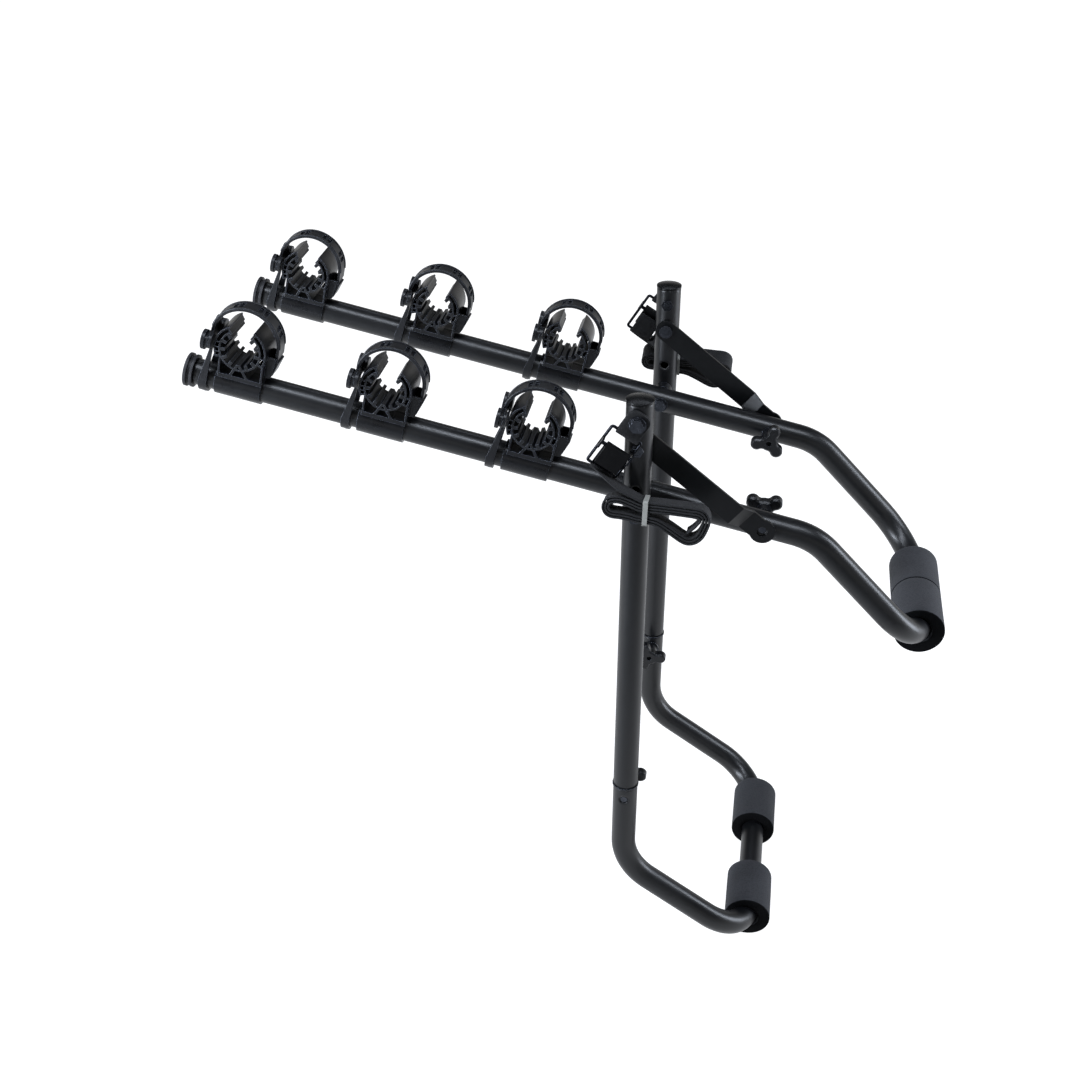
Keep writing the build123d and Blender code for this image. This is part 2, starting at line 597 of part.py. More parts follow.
# Rubber strap over the bore, with its eared end on the buttons
strap_face = Pos(*strap_c) * sector(strap_r + STRAP_T / 2, strap_r - STRAP_T / 2, STRAP_END, 180)
strap_face += strip(*strap_side, *strap_knee, STRAP_T) + Pos(*strap_knee) * Circle(STRAP_T / 2)
strap_face += strip(*strap_knee, *strap_foot, STRAP_T)
tab_off = (STRAP_T + TAB_T) / 2 - 0.2
tab_low = (strap_foot[0] - tab_off * math.cos(lean), strap_foot[1] - tab_off * math.sin(lean))
tab_high = (tab_low[0] - TAB_RUN * math.sin(lean), tab_low[1] + TAB_RUN * math.cos(lean))
strap_face += strip(*tab_low, *tab_high, TAB_T) + Pos(*strap_foot) * Circle(STRAP_EYE_R)
strap_face -= Pos(*strap_foot) * Circle(STRAP_PIN_R + STRAP_PIN_FIT)
strap = extrude(strap_face, amount=STRAP_W / 2, both=True)
for angle in SLOT_AT:
    for part in (-1, 1):
        turn = angle + part * math.degrees((SLOT_L + SLOT_BAR) / 4 / strap_r)
        pocket = Location((strap_c[0], strap_c[1], 0), (0, 0, turn)) * Pos(strap_r + SLOT_FLOOR, 0, 0)
        strap -= pocket * Box(STRAP_T, (SLOT_L - SLOT_BAR) / 2, SLOT_W)
ear_u = strap_c[0] + strap_r * math.cos(math.radians(STRAP_END))
ear = Pos(ear_u, button_h, 0) * Box(STRAP_T, EAR_H, EAR_SPAN)
ear = fillet(ear.edges().filter_by(Axis.X), EAR_H * 0.35)
strap += ear
for side in (-1, 1):
    strap -= Location((ear_u, button_h, side * BUTTON_Y), (0, 90, 0)) * Cylinder(BUTTON_PIN_R + YOKE_FIT, 4 * STRAP_T)

# Rubber yoke under the arm with a disc button at the top of each leg
pad_u = ear_u - STRAP_T / 2 - YOKE_FIT
button_u = ear_u + STRAP_T / 2 + YOKE_FIT
ear_low = button_h - EAR_H / 2 - 1
yoke_foot = ear_u + YOKE_FOOT_OUT
yoke_in = R + YOKE_FIT
yoke_out = yoke_in + YOKE_T
yoke = Pos(yoke_foot, 0, 0) * Rot(0, 90, 0) * (Cylinder(yoke_out, YOKE_W) - Cylinder(yoke_in, YOKE_W))
yoke -= Pos(yoke_foot, yoke_out, 0) * Box(2 * YOKE_W, 2 * yoke_out, 4 * yoke_out)
leg_face = make_face(Polyline(
    (yoke_foot - YOKE_W / 2, 0), (yoke_foot + YOKE_W / 2, 0), (pad_u, ear_low),
    (pad_u, button_h), (pad_u - YOKE_T, button_h), close=True,
))
for side in (-1, 1):
    yoke += Pos(0, 0, side * (yoke_in + YOKE_T / 2)) * extrude(leg_face, amount=YOKE_T / 2, both=True)
    for r, u0, u1 in (
        (BUTTON_PAD_R, pad_u - YOKE_T, pad_u),
        (BUTTON_PIN_R, pad_u - 1, button_u + 1),
        (BUTTON_R, button_u, button_u + BUTTON_T),
    ):
        yoke += Pos((u0 + u1) / 2, button_h, side * BUTTON_Y) * Rot(0, 90, 0) * Cylinder(r, u1 - u0)
yoke += Pos(yoke_foot, -yoke_out - NUB_T / 2 + 0.5, 0) * Rot(90, 0, 0) * Cylinder(NUB_R, NUB_T + 1)

for side, word in ((-1, "near"), (1, "far")):
    for k, s in enumerate(CRADLE_AT):
        seat = at_arm(s, side)
        tag = f"{word}_{k + 1}"
        save(seat * cradle, f"cradle_{tag}")
        save(seat * liner, f"liner_{tag}")
        save(seat * yoke, f"yoke_{tag}")
        save(seat * strap, f"strap_{tag}")

# Buckles, drawn from the webbing's bolt: x along the webbing, y across, z outwards
lean_dir = (math.cos(math.radians(BUCKLE_LEAN)), 0, math.sin(math.radians(BUCKLE_LEAN)))
buckle_at = Plane(origin=(0, -UP_OUT, STRAP_BOLT_Z), x_dir=lean_dir, z_dir=(0, -1, 0))
ring_mid = (BUCKLE_NEAR + BUCKLE_FAR) / 2
ring_path = Pos(ring_mid, BUCKLE_SHIFT, BUCKLE_OUT) * RectangleRounded(
    BUCKLE_FAR - BUCKLE_NEAR, BUCKLE_W, BUCKLE_CORNER_R
).face().outer_wire()
buckle = Part()
for edge in ring_path.edges():
    buckle += sweep(Plane(edge @ 0, z_dir=edge % 0) * Circle(WIRE_R), path=edge)
for side in (-1, 1):
    cheek_y = BUCKLE_SHIFT + side * BUCKLE_W / 2
    cheek_h = LEVER_OUT + LEVER_BOSS_R - (BUCKLE_OUT - WIRE_R)
    buckle += Pos(LEVER_AT, cheek_y, BUCKLE_OUT - WIRE_R + cheek_h / 2) * Box(CHEEK_W, CHEEK_T, cheek_h)
buckle += Pos(LEVER_AT, BUCKLE_SHIFT, LEVER_OUT) * Rot(90, 0, 0) * Cylinder(LEVER_PIN_R, BUCKLE_W)
save(pair(buckle_at * buckle), "buckle_frames")

# Webbing loop from the bolt round the buckle's first wire
anchor_w = WEB_W
anchor_len = ANCHOR_BACK + BUCKLE_NEAR
anchor = Pos((BUCKLE_NEAR - ANCHOR_BACK) / 2, ANCHOR_SHIFT, SEAT_GAP + ANCHOR_T / 2) * Box(
    anchor_len, anchor_w, ANCHOR_T
)
anchor = fillet(anchor.edges().filter_by(Axis.Z).sort_by(Axis.X)[:2], ANCHOR_CORNER_R)
anchor += Pos(BUCKLE_NEAR, ANCHOR_SHIFT, BUCKLE_OUT) * Rot(90, 0, 0) * Cylinder(ANCHOR_ROLL_R, anchor_w)
anchor -= Pos(BUCKLE_NEAR, ANCHOR_SHIFT, BUCKLE_OUT) * Rot(90, 0, 0) * Cylinder(WIRE_R + WIRE_FIT, 2 * anchor_w)
anchor -= Cylinder(BOLT_R + BOLT_FIT, 4 * ANCHOR_T)
save(pair(buckle_at * anchor), "webbing_anchors")

# Levers that clamp the webbing, each on the pin of its buckle
lever = Pos(LEVER_AT, LEVER_SHIFT, LEVER_OUT) * Rot(90, 0, 0) * Cylinder(LEVER_BOSS_R, LEVER_W)
lever += Pos(LEVER_AT - LEVER_BOSS_R + LEVER_L / 2, LEVER_SHIFT, LEVER_OUT + LEVER_BOSS_R - LEVER_T / 2) * Box(
    LEVER_L, LEVER_W, LEVER_T
)
lever -= Pos(LEVER_AT, LEVER_SHIFT, LEVER_OUT) * Rot(90, 0, 0) * Cylinder(LEVER_PIN_R + LEVER_PIN_FIT, 2 * LEVER_W)
save(buckle_at * lever, "lever_near")
save(mirrored(buckle_at * lever), "lever_far")

# Bolts of the webbing, with a washer head outside
bolt_head = UP_OUT + SEAT_GAP + ANCHOR_T + SEAT_GAP
bolt_end = UP_IN - SEAT_GAP - BRACE_NUT_H
strap_bolt = rod(0, STRAP_BOLT_Z, -bolt_end, -bolt_head, BOLT_R)
strap_bolt += rod(0, STRAP_BOLT_Z, -bolt_head, -(bolt_head + STRAP_WASHER_T), WASHER_R)
strap_bolt += hexagon(0, STRAP_BOLT_Z, -(bolt_head + 1), -(bolt_head + STRAP_WASHER_T + HEAD_H), HEAD_R)
save(pair(strap_bolt), "strap_bolts")
nuts += pair(nut(0, STRAP_BOLT_Z, bolt_end, BRACE_NUT_H))
save(nuts, "lock_nuts")

# Hanks of spare webbing, drawn on edge: x to the car, y up the hank's tilt
tilt = math.radians(HANK_TILT)
hank_at = Plane(
    origin=(HANK_X, -(UP_OUT + HANK_OUT), HANK_Z),
    x_dir=(1, 0, 0), z_dir=(0, -math.cos(tilt), math.sin(tilt)),
)
core = Spline(*HANK_CORE, periodic=True)


def off_core(u, off):
    """Point at parameter u of the core, moved out square to it."""
    at, along = core @ (u % 1.0), core % (u % 1.0)
    return (at.X + along.Y * off, at.Y - along.X * off)


# Parameters of the core that are evenly spaced on the middle layer of the hank
mid_layer = HANK_PITCH * HANK_TURNS / 2
fine = [k / CORE_FINE for k in range(CORE_FINE + 1)]
far_along = [0.0]
for u0, u1 in zip(fine, fine[1:]):
    far_along.append(far_along[-1] + math.dist(off_core(u0, mid_layer), off_core(u1, mid_layer)))


def hank_point(turn):
    """Middle of the webbing after a number of turns round the core."""
    goal = (turn % 1.0) * far_along[-1]
    k = next(i for i in range(1, CORE_FINE + 1) if far_along[i] >= goal)
    share = (goal - far_along[k - 1]) / (far_along[k] - far_along[k - 1])
    return off_core(fine[k - 1] + share / CORE_FINE, WEB_THICK / 2 + HANK_PITCH * turn)


def beside(points, shift):
    """The same run of points, moved sideways."""
    moved = []
    for k, (a, b) in enumerate(points):
        a0, b0 = points[max(k - 1, 0)]
        a1, b1 = points[min(k + 1, len(points) - 1)]
        run = math.hypot(a1 - a0, b1 - b0)
        moved.append((a + shift * (b1 - b0) / run, b - shift * (a1 - a0) / run))
    return moved


def arcs(points):
    """Arcs through an odd number of points, one for every two steps."""
    return [ThreePointArc(*points[k:k + 3]) for k in range(0, len(points) - 2, 2)]


turn_count = math.ceil(HANK_TURNS * HANK_STEPS / 2) * 2
wound = [hank_point(HANK_TURNS * k / turn_count) for k in range(turn_count + 1)]
run = list(HANK_TAIL) + wound
inside, outside = beside(run, -WEB_THICK / 2), beside(run, WEB_THICK / 2)
ends = [Line(inside[-1], outside[-1]), Line(outside[0], inside[0])]
hank_face = make_face(arcs(inside) + arcs(outside) + ends)
hank = extrude(hank_at * hank_face, amount=WEB_W)
save(hank, "hank_near")
save(mirrored(hank), "hank_far")
least = min(
    math.dist(p, q) for i, p in enumerate(run) for j, q in enumerate(run)
    if j - i > HANK_STEPS / 3
) - WEB_THICK
print("hank: least gap to itself", round(least, 2), "mm, webbing", round(sum(
    math.dist(p, q) for p, q in zip(run, run[1:]))), "mm")

# Webbing from the buckle down to the hank: flat in the buckle, once round its
# second wire, then turned on edge and drawn to the hank's outer end
end_a, end_b = wound[-1]
lead_rows = [
    (buckle_at.from_local_coords(Vector(*low)), buckle_at.from_local_coords(Vector(*high)))
    for low, high in LEAD_RUN
]
for a in (end_a - TIE_W / 2 - LEAD_FIT - 1.5, end_a - LEAD_FIT):
    lead_rows.append((
        hank_at.from_local_coords(Vector(a, end_b, 0)),
        hank_at.from_local_coords(Vector(a, end_b, WEB_W)),
    ))
sections = []
for k, (low, high) in enumerate(lead_rows):
    before, after = lead_rows[max(k - 1, 0)], lead_rows[min(k + 1, len(lead_rows) - 1)]
    travel = after[0] + after[1] - before[0] - before[1]
    thick = (high - low).cross(travel).normalized() * (WEB_THICK / 2)
    sections.append(make_face(Polyline(low + thick, high + thick, high - thick, low - thick, close=True)))
lead = loft(sections, ruled=True)
wire_2 = Pos(BUCKLE_FAR, LEAD_SHIFT, BUCKLE_OUT) * Rot(90, 0, 0)
lead += buckle_at * (wire_2 * Cylinder(ANCHOR_ROLL_R, WEB_W))
lead += buckle_at * (Pos((LEAD_START + BUCKLE_FAR) / 2, LEAD_SHIFT, LEAD_OUT + WEB_THICK / 2) * Box(
    BUCKLE_FAR - LEAD_START, WEB_W, WEB_THICK
))
lead -= buckle_at * (wire_2 * Cylinder(WIRE_R + WIRE_FIT, WEB_W + 1))
save(lead, "lead_near")
save(mirrored(lead), "lead_far")

# Ties round the waists of the hanks
waist = [b for a, b in run if abs(a - TIE_AT) < TIE_W]
tie_low, tie_high = min(waist) - WEB_THICK / 2 - TIE_FIT, max(waist) + WEB_THICK / 2 + TIE_FIT
tie_plane = Plane(
    origin=hank_at.from_local_coords(Vector(TIE_AT, (tie_low + tie_high) / 2, WEB_W / 2)),
    x_dir=hank_at.y_dir, z_dir=(1, 0, 0),
)
tie_in = RectangleRounded(tie_high - tie_low, WEB_W + 2 * TIE_FIT, TIE_T)
tie_out = RectangleRounded(tie_high - tie_low + 2 * TIE_T, WEB_W + 2 * TIE_FIT + 2 * TIE_T, 2 * TIE_T)
tie = extrude(tie_plane * (tie_out - tie_in), amount=TIE_W / 2, both=True)
save(pair(tie), "webbing_ties")
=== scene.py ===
# %% [markdown]
# # Bike carrier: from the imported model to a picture
# The carrier is a folding rack of bent black tube. Six cradles on its two arms
# hold three bikes, foam sleeves rest on the car, and webbing straps hold it
# there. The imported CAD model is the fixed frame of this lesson: every bolt and
# tube is already where it belongs. Here it gets its finishes, its foam and its
# webbing, then a stage, lights and a camera. Lengths are in metres, in the
# model's frame, whose origin is the middle of the upper pad bar.

# %%
import math

import bmesh
import bpy
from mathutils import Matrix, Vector, noise


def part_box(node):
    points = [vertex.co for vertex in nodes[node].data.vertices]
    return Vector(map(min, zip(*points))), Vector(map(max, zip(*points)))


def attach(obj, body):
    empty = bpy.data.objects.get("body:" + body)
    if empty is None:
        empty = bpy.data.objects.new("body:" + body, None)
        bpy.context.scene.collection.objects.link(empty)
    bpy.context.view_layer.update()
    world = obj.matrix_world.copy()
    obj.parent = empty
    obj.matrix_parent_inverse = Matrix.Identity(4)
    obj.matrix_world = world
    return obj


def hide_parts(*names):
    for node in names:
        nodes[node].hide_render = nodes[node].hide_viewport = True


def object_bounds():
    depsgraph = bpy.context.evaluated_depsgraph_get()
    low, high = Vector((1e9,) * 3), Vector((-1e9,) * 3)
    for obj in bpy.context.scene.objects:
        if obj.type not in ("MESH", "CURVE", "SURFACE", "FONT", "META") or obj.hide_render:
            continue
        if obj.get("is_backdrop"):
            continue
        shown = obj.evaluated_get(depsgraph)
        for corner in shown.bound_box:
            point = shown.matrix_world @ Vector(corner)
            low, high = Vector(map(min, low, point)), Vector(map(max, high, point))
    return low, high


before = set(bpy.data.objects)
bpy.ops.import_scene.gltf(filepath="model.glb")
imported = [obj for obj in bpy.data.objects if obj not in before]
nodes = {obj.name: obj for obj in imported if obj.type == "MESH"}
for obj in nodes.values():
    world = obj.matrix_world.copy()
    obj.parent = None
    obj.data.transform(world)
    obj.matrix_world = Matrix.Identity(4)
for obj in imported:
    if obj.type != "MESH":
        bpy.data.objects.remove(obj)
cad_low, cad_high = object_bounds()
middle = (cad_low + cad_high) / 2

MM = 0.001
SIDES = {"near": -1, "far": 1}          # the sign of y on each side
CRADLES = [f"{side}_{k}" for side in SIDES for k in (1, 2, 3)]
print("CAD pieces:", len(nodes))
print("CAD box, mm:", [round((b - a) / MM) for a, b in zip(cad_low, cad_high)])

# %% [markdown]
# ## A short way to write nodes
# A finish is a small tree of nodes, and most trees need the same few steps: add
# a node, set it, join it. They could be written out each time, or one function
# could be made for each kind of node, but a single function that adds any kind
# keeps the trees readable. A node's inputs are given by name or number, and each
# is a value or another node's output. Colours are written as hex, as a paint
# chart gives them, and turned into Blender's linear values.


# %%
def srgb(text):
    """Linear RGBA of a hex colour."""
    out = []
    for k in (0, 2, 4):
        v = int(text[k:k + 2], 16) / 255
        out.append(v / 12.92 if v <= 0.04045 else ((v + 0.055) / 1.055) ** 2.4)
    return (*out, 1.0)


def feed(tree, made, inputs):
    """Set or join a node's inputs."""
    for key, value in dict(inputs).items():
        if isinstance(value, bpy.types.NodeSocket):
            tree.links.new(value, made.inputs[key])
        else:
            made.inputs[key].default_value = value


def node(tree, kind, inputs=(), **settings):
    """Add a node with its settings and its inputs."""
    made = tree.nodes.new(kind)
    for key, value in settings.items():
        setattr(made, key, value)
    feed(tree, made, inputs)
    return made


print("hex 808080 in linear light:", round(srgb("808080")[0], 3))

# %% [markdown]
# ### What every finish starts from
# A new material brings a shader of its own, so each finish starts from that and
# from the texture coordinates. Two things are shared by all of them. The colour
# sockets of a Mix node go by number, because its sockets for numbers, vectors
# and colours bear the same names. And a noise texture keeps mostly between 0.3
# and 0.7, so that span is what gets stretched over a range of roughness.

# %%
COLOUR_A, COLOUR_B, MIXED = 6, 7, 2
NOISE_SPAN = {"From Min": 0.3, "From Max": 0.7}
EDGE_SAMPLES = 6                        # rays of a Bevel node


def new_finish(name):
    """A new material with its tree, its shader and its texture coordinates."""
    material = bpy.data.materials.new(name)
    material.use_nodes = True
    tree = material.node_tree
    where = node(tree, "ShaderNodeTexCoord")
    return material, tree, tree.nodes["Principled BSDF"], where


def tell(*finishes):
    """Print each finish with the size of its tree."""
    for material in finishes:
        print("finish:", material.name, "nodes:", len(material.node_tree.nodes))


print("materials that came with the CAD pieces:", len(bpy.data.materials))

# %% [markdown]
# ## Powder coat
# The tubes are steel with a black semi-gloss powder coat: polyester powder baked
# to an even skin. It gives the eye soft-edged reflections, because the skin has
# a faint orange peel about 2 mm across, and it dulls in patches where hands and
# dust have been. One glossy black would look like glass up close, so here the
# tone and the roughness follow the patches. The Bevel node averages the
# direction of the surface over a short way: on the tubes it smooths the flats
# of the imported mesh, and on the thin braces it rounds the edges, where powder
# always builds up.

# %%
DULL_PATCH = 50 * MM
ORANGE_PEEL = 2 * MM
PEEL_DEPTH = 0.0015 * MM
SMOOTH_SAMPLES = 12                     # wide tubes need more rays


def powder_coat(name, base, dusty, round_off, gloss):
    """Baked black powder with dull patches and a faint orange peel."""
    material, tree, shader, where = new_finish(name)
    place = where.outputs["Object"]
    patch = node(tree, "ShaderNodeTexNoise", {
        "Vector": place, "Scale": 1 / DULL_PATCH, "Detail": 4,
    }).outputs[0]
    peel = node(tree, "ShaderNodeTexNoise", {
        "Vector": place, "Scale": 1 / ORANGE_PEEL, "Detail": 1,
    }).outputs[0]
    colour = node(tree, "ShaderNodeMix", {
        0: patch, COLOUR_A: srgb(base), COLOUR_B: srgb(dusty),
    }, data_type="RGBA")
    rough = node(tree, "ShaderNodeMapRange", {
        "Value": patch, **NOISE_SPAN, "To Min": 0.3, "To Max": 0.39,
    })
    edge = node(tree, "ShaderNodeBevel", {"Radius": round_off}, samples=SMOOTH_SAMPLES)
    bump = node(tree, "ShaderNodeBump", {
        "Height": peel, "Distance": PEEL_DEPTH, "Strength": 0.5,
        "Normal": edge.outputs[0],
    })
    feed(tree, shader, {
        "Base Color": colour.outputs[MIXED], "Roughness": rough.outputs[0],
        "Specular IOR Level": gloss, "Normal": bump.outputs[0],
    })
    return material


TUBE_PAINT = powder_coat("black_powder_coat", "070809", "0e0f12", 4 * MM, 0.5)
STRIP_PAINT = powder_coat("powder_coated_strip", "050607", "0b0c0e", 0.8 * MM, 0.3)
tell(TUBE_PAINT, STRIP_PAINT)

# %% [markdown]
# ## Moulded plastic and rubber
# The cradles, knobs and rings are injection-moulded polypropylene, and the
# straps, yokes and liners are soft moulded rubber. Both come out of a tool with
# a fine spark-eroded grain, under half a millimetre, drawn here coarser so that
# it shows. Thin edges are painted a lighter tone, partly for rubbed wear and
# partly as a painted highlight where edges catch the light. Painting each edge
# by hand would be slow, and a mask can be worked out instead: the rounded
# direction of the Bevel node differs from the true one only near an edge.

# %%
TONE_PATCH = 20 * MM
SPARK_DEPTH = 0.03 * MM
# at most this share of the edge tone is laid on: partly rubbed wear, partly painted
# highlight
WORN_AND_LIT_MOST = 0.8                       # share of the edge's tone


def moulded(name, base, light, worn_and_lit_tone, rough, grain, round_off, gloss=0.4):
    """Moulded plastic or rubber: a spark-eroded grain, and lighter edges that are partly
    rubbed wear and partly a painted highlight.
    """
    material, tree, shader, where = new_finish(name)
    place = where.outputs["Object"]
    patch = node(tree, "ShaderNodeTexNoise", {
        "Vector": place, "Scale": 1 / TONE_PATCH, "Detail": 4,
    }).outputs[0]
    sparks = node(tree, "ShaderNodeTexNoise", {
        "Vector": place, "Scale": 1 / grain, "Detail": 2,
    }).outputs[0]
    edge = node(tree, "ShaderNodeBevel", {"Radius": round_off}, samples=EDGE_SAMPLES)
    true = node(tree, "ShaderNodeNewGeometry")
    meet = node(tree, "ShaderNodeVectorMath", {
        0: edge.outputs[0], 1: true.outputs["Normal"],
    }, operation="DOT_PRODUCT")
    # painted highlight and wear: near an edge the colour is lifted towards the edge tone
    worn_and_lit_edges = node(tree, "ShaderNodeMapRange", {
        "Value": meet.outputs["Value"],
        "From Min": 1.0, "From Max": 0.7, "To Max": WORN_AND_LIT_MOST,
    })
    body = node(tree, "ShaderNodeMix", {
        0: patch, COLOUR_A: srgb(base), COLOUR_B: srgb(light),
    }, data_type="RGBA")
    colour = node(tree, "ShaderNodeMix", {
        0: worn_and_lit_edges.outputs[0], COLOUR_A: body.outputs[MIXED], COLOUR_B: srgb(worn_and_lit_tone),
    }, data_type="RGBA")
    dull = node(tree, "ShaderNodeMapRange", {
        "Value": patch, **NOISE_SPAN, "To Min": rough[0], "To Max": rough[1],
    })
    bump = node(tree, "ShaderNodeBump", {
        "Height": sparks, "Distance": SPARK_DEPTH, "Strength": 0.8,
        "Normal": edge.outputs[0],
    })
    feed(tree, shader, {
        "Base Color": colour.outputs[MIXED], "Roughness": dull.outputs[0],
        "Specular IOR Level": gloss, "Normal": bump.outputs[0],
    })
    return material


# the third colour of each finish is its edge tone: partly rubbed wear, partly a painted
# highlight
PLASTIC = moulded(
    "moulded_polypropylene", "08090b", "101115", "7a8190", (0.24, 0.36), 0.7 * MM, 0.5 * MM)
KNOB_PLASTIC = moulded(
    "knob_plastic", "07080a", "0e0f12", "3c4048", (0.24, 0.38), 0.7 * MM, 1.2 * MM)
RUBBER = moulded(
    "soft_rubber", "08090b", "121317", "6c727e", (0.3, 0.45), 1.1 * MM, 0.6 * MM)
PLUG_RUBBER = moulded(
    "end_plug_rubber", "1a1a1d", "2a2a2d", "5a5a5e", (0.42, 0.58), 1.4 * MM, 0.6 * MM)
LEVER_PLASTIC = moulded(
    "lever_plastic", "020203", "060607", "18191c", (0.45, 0.6), 0.9 * MM, 0.4 * MM,
    gloss=0.14)
tell(PLASTIC, KNOB_PLASTIC, RUBBER, PLUG_RUBBER, LEVER_PLASTIC)

# %% [markdown]
# ## Plated steel
# Bolts, nuts, studs and buckle wires are steel under a thin dark zinc or black
# plating. Plating is metal, so it tints what it reflects, and turning and
# rolling leave fine marks that break the reflection up. A flat grey would look
# painted, so the metallic value stays high and smudges change the roughness.

# %%
SMUDGE = 5 * MM
TURNING_MARKS = 0.5 * MM


def plated_steel(name, dark, light, rough):
    """Thin plating on steel: smudged, with fine turning marks."""
    material, tree, shader, where = new_finish(name)
    place = where.outputs["Object"]
    smudge = node(tree, "ShaderNodeTexNoise", {
        "Vector": place, "Scale": 1 / SMUDGE, "Detail": 5,
    }).outputs[0]
    marks = node(tree, "ShaderNodeTexNoise", {
        "Vector": place, "Scale": 1 / TURNING_MARKS, "Detail": 2,
    }).outputs[0]
    colour = node(tree, "ShaderNodeMix", {
        0: smudge, COLOUR_A: srgb(dark), COLOUR_B: srgb(light),
    }, data_type="RGBA")
    dull = node(tree, "ShaderNodeMapRange", {
        "Value": smudge, **NOISE_SPAN, "To Min": rough[0], "To Max": rough[1],
    })
    edge = node(tree, "ShaderNodeBevel", {"Radius": 0.5 * MM}, samples=EDGE_SAMPLES)
    bump = node(tree, "ShaderNodeBump", {
        "Height": marks, "Distance": 0.02 * MM, "Strength": 0.6,
        "Normal": edge.outputs[0],
    })
    feed(tree, shader, {
        "Base Color": colour.outputs[MIXED], "Metallic": 0.9,
        "Roughness": dull.outputs[0], "Normal": bump.outputs[0],
    })
    return material


STEEL = plated_steel("dark_zinc_steel", "33363c", "70757e", (0.25, 0.42))
BOLT_STEEL = plated_steel("blackened_steel", "1e2024", "5a5d64", (0.14, 0.28))
WIRE_STEEL = plated_steel("buckle_wire", "0d0e11", "2b2d33", (0.2, 0.34))
tell(STEEL, BOLT_STEEL, WIRE_STEEL)

# %% [markdown]
# ## Foam
# The sleeves are closed-cell rubber foam with a skin. The cells are well under a
# millimetre, too fine to show, so a cell pattern of 1.1 mm stands for them. The
# skin gives the eye a matt dark grey with darker specks and a soft sheen at
# grazing angles. A cut end shows open cells, which swallow light: it is a second
# finish from the same function, nearly black and without the sheen.

# %%
FOAM_CELL = 1.1 * MM
FOAM_PATCH = 26 * MM
FOAM_SPECK = 1.9 * MM
SPECK_TONE = "08090a"


def cellular_foam(name, base, light, depth, gloss, sheen):
    """Closed-cell foam: small cells, dark specks, soft sheen."""
    material, tree, shader, where = new_finish(name)
    place = where.outputs["Object"]
    cells = node(tree, "ShaderNodeTexVoronoi", {"Vector": place, "Scale": 1 / FOAM_CELL})
    patch = node(tree, "ShaderNodeTexNoise", {
        "Vector": place, "Scale": 1 / FOAM_PATCH, "Detail": 5,
    }).outputs[0]
    fine = node(tree, "ShaderNodeTexNoise", {
        "Vector": place, "Scale": 1 / FOAM_SPECK, "Detail": 3,
    }).outputs[0]
    skin = node(tree, "ShaderNodeMix", {
        0: patch, COLOUR_A: srgb(base), COLOUR_B: srgb(light),
    }, data_type="RGBA")
    specks = node(tree, "ShaderNodeMapRange", {
        "Value": fine, "From Min": 0.45, "From Max": 0.75, "To Max": 0.55,
    })
    colour = node(tree, "ShaderNodeMix", {
        0: specks.outputs[0], COLOUR_A: skin.outputs[MIXED], COLOUR_B: srgb(SPECK_TONE),
    }, data_type="RGBA")
    height = node(tree, "ShaderNodeMath", {
        0: cells.outputs["Distance"], 1: fine,
    }, operation="ADD")
    bump = node(tree, "ShaderNodeBump", {
        "Height": height.outputs[0], "Distance": depth, "Strength": 0.8,
    })
    feed(tree, shader, {
        "Base Color": colour.outputs[MIXED], "Roughness": 0.86,
        "Specular IOR Level": gloss, "Sheen Weight": sheen, "Sheen Roughness": 0.6,
        "Normal": bump.outputs[0],
    })
    return material


FOAM = cellular_foam("charcoal_foam", "222326", "313237", 0.2 * MM, 0.24, 0.1)
CUT_FOAM = cellular_foam("cut_foam", "060607", "0c0d0f", 0.35 * MM, 0.08, 0.0)
tell(FOAM, CUT_FOAM)

# %% [markdown]
# ## Woven webbing and its thread
# Black polypropylene webbing is a heavy twill: yarns about 1.3 mm wide run
# slantwise and turn back in a herringbone, which gives the eye a matt ribbed
# black. Real threads in mesh would be far too many. A sine wave along a folded
# slant draws them instead, and it reads the ribbon's own UV map, which is in
# metres along and across, so the weave bends with the webbing.

# %%
YARN = 1.3 * MM
HERRINGBONE = 3.1 * MM                  # width of one leg of the pattern
SLANT = 0.9                             # rise of the yarns
FUZZ = 0.7 * MM


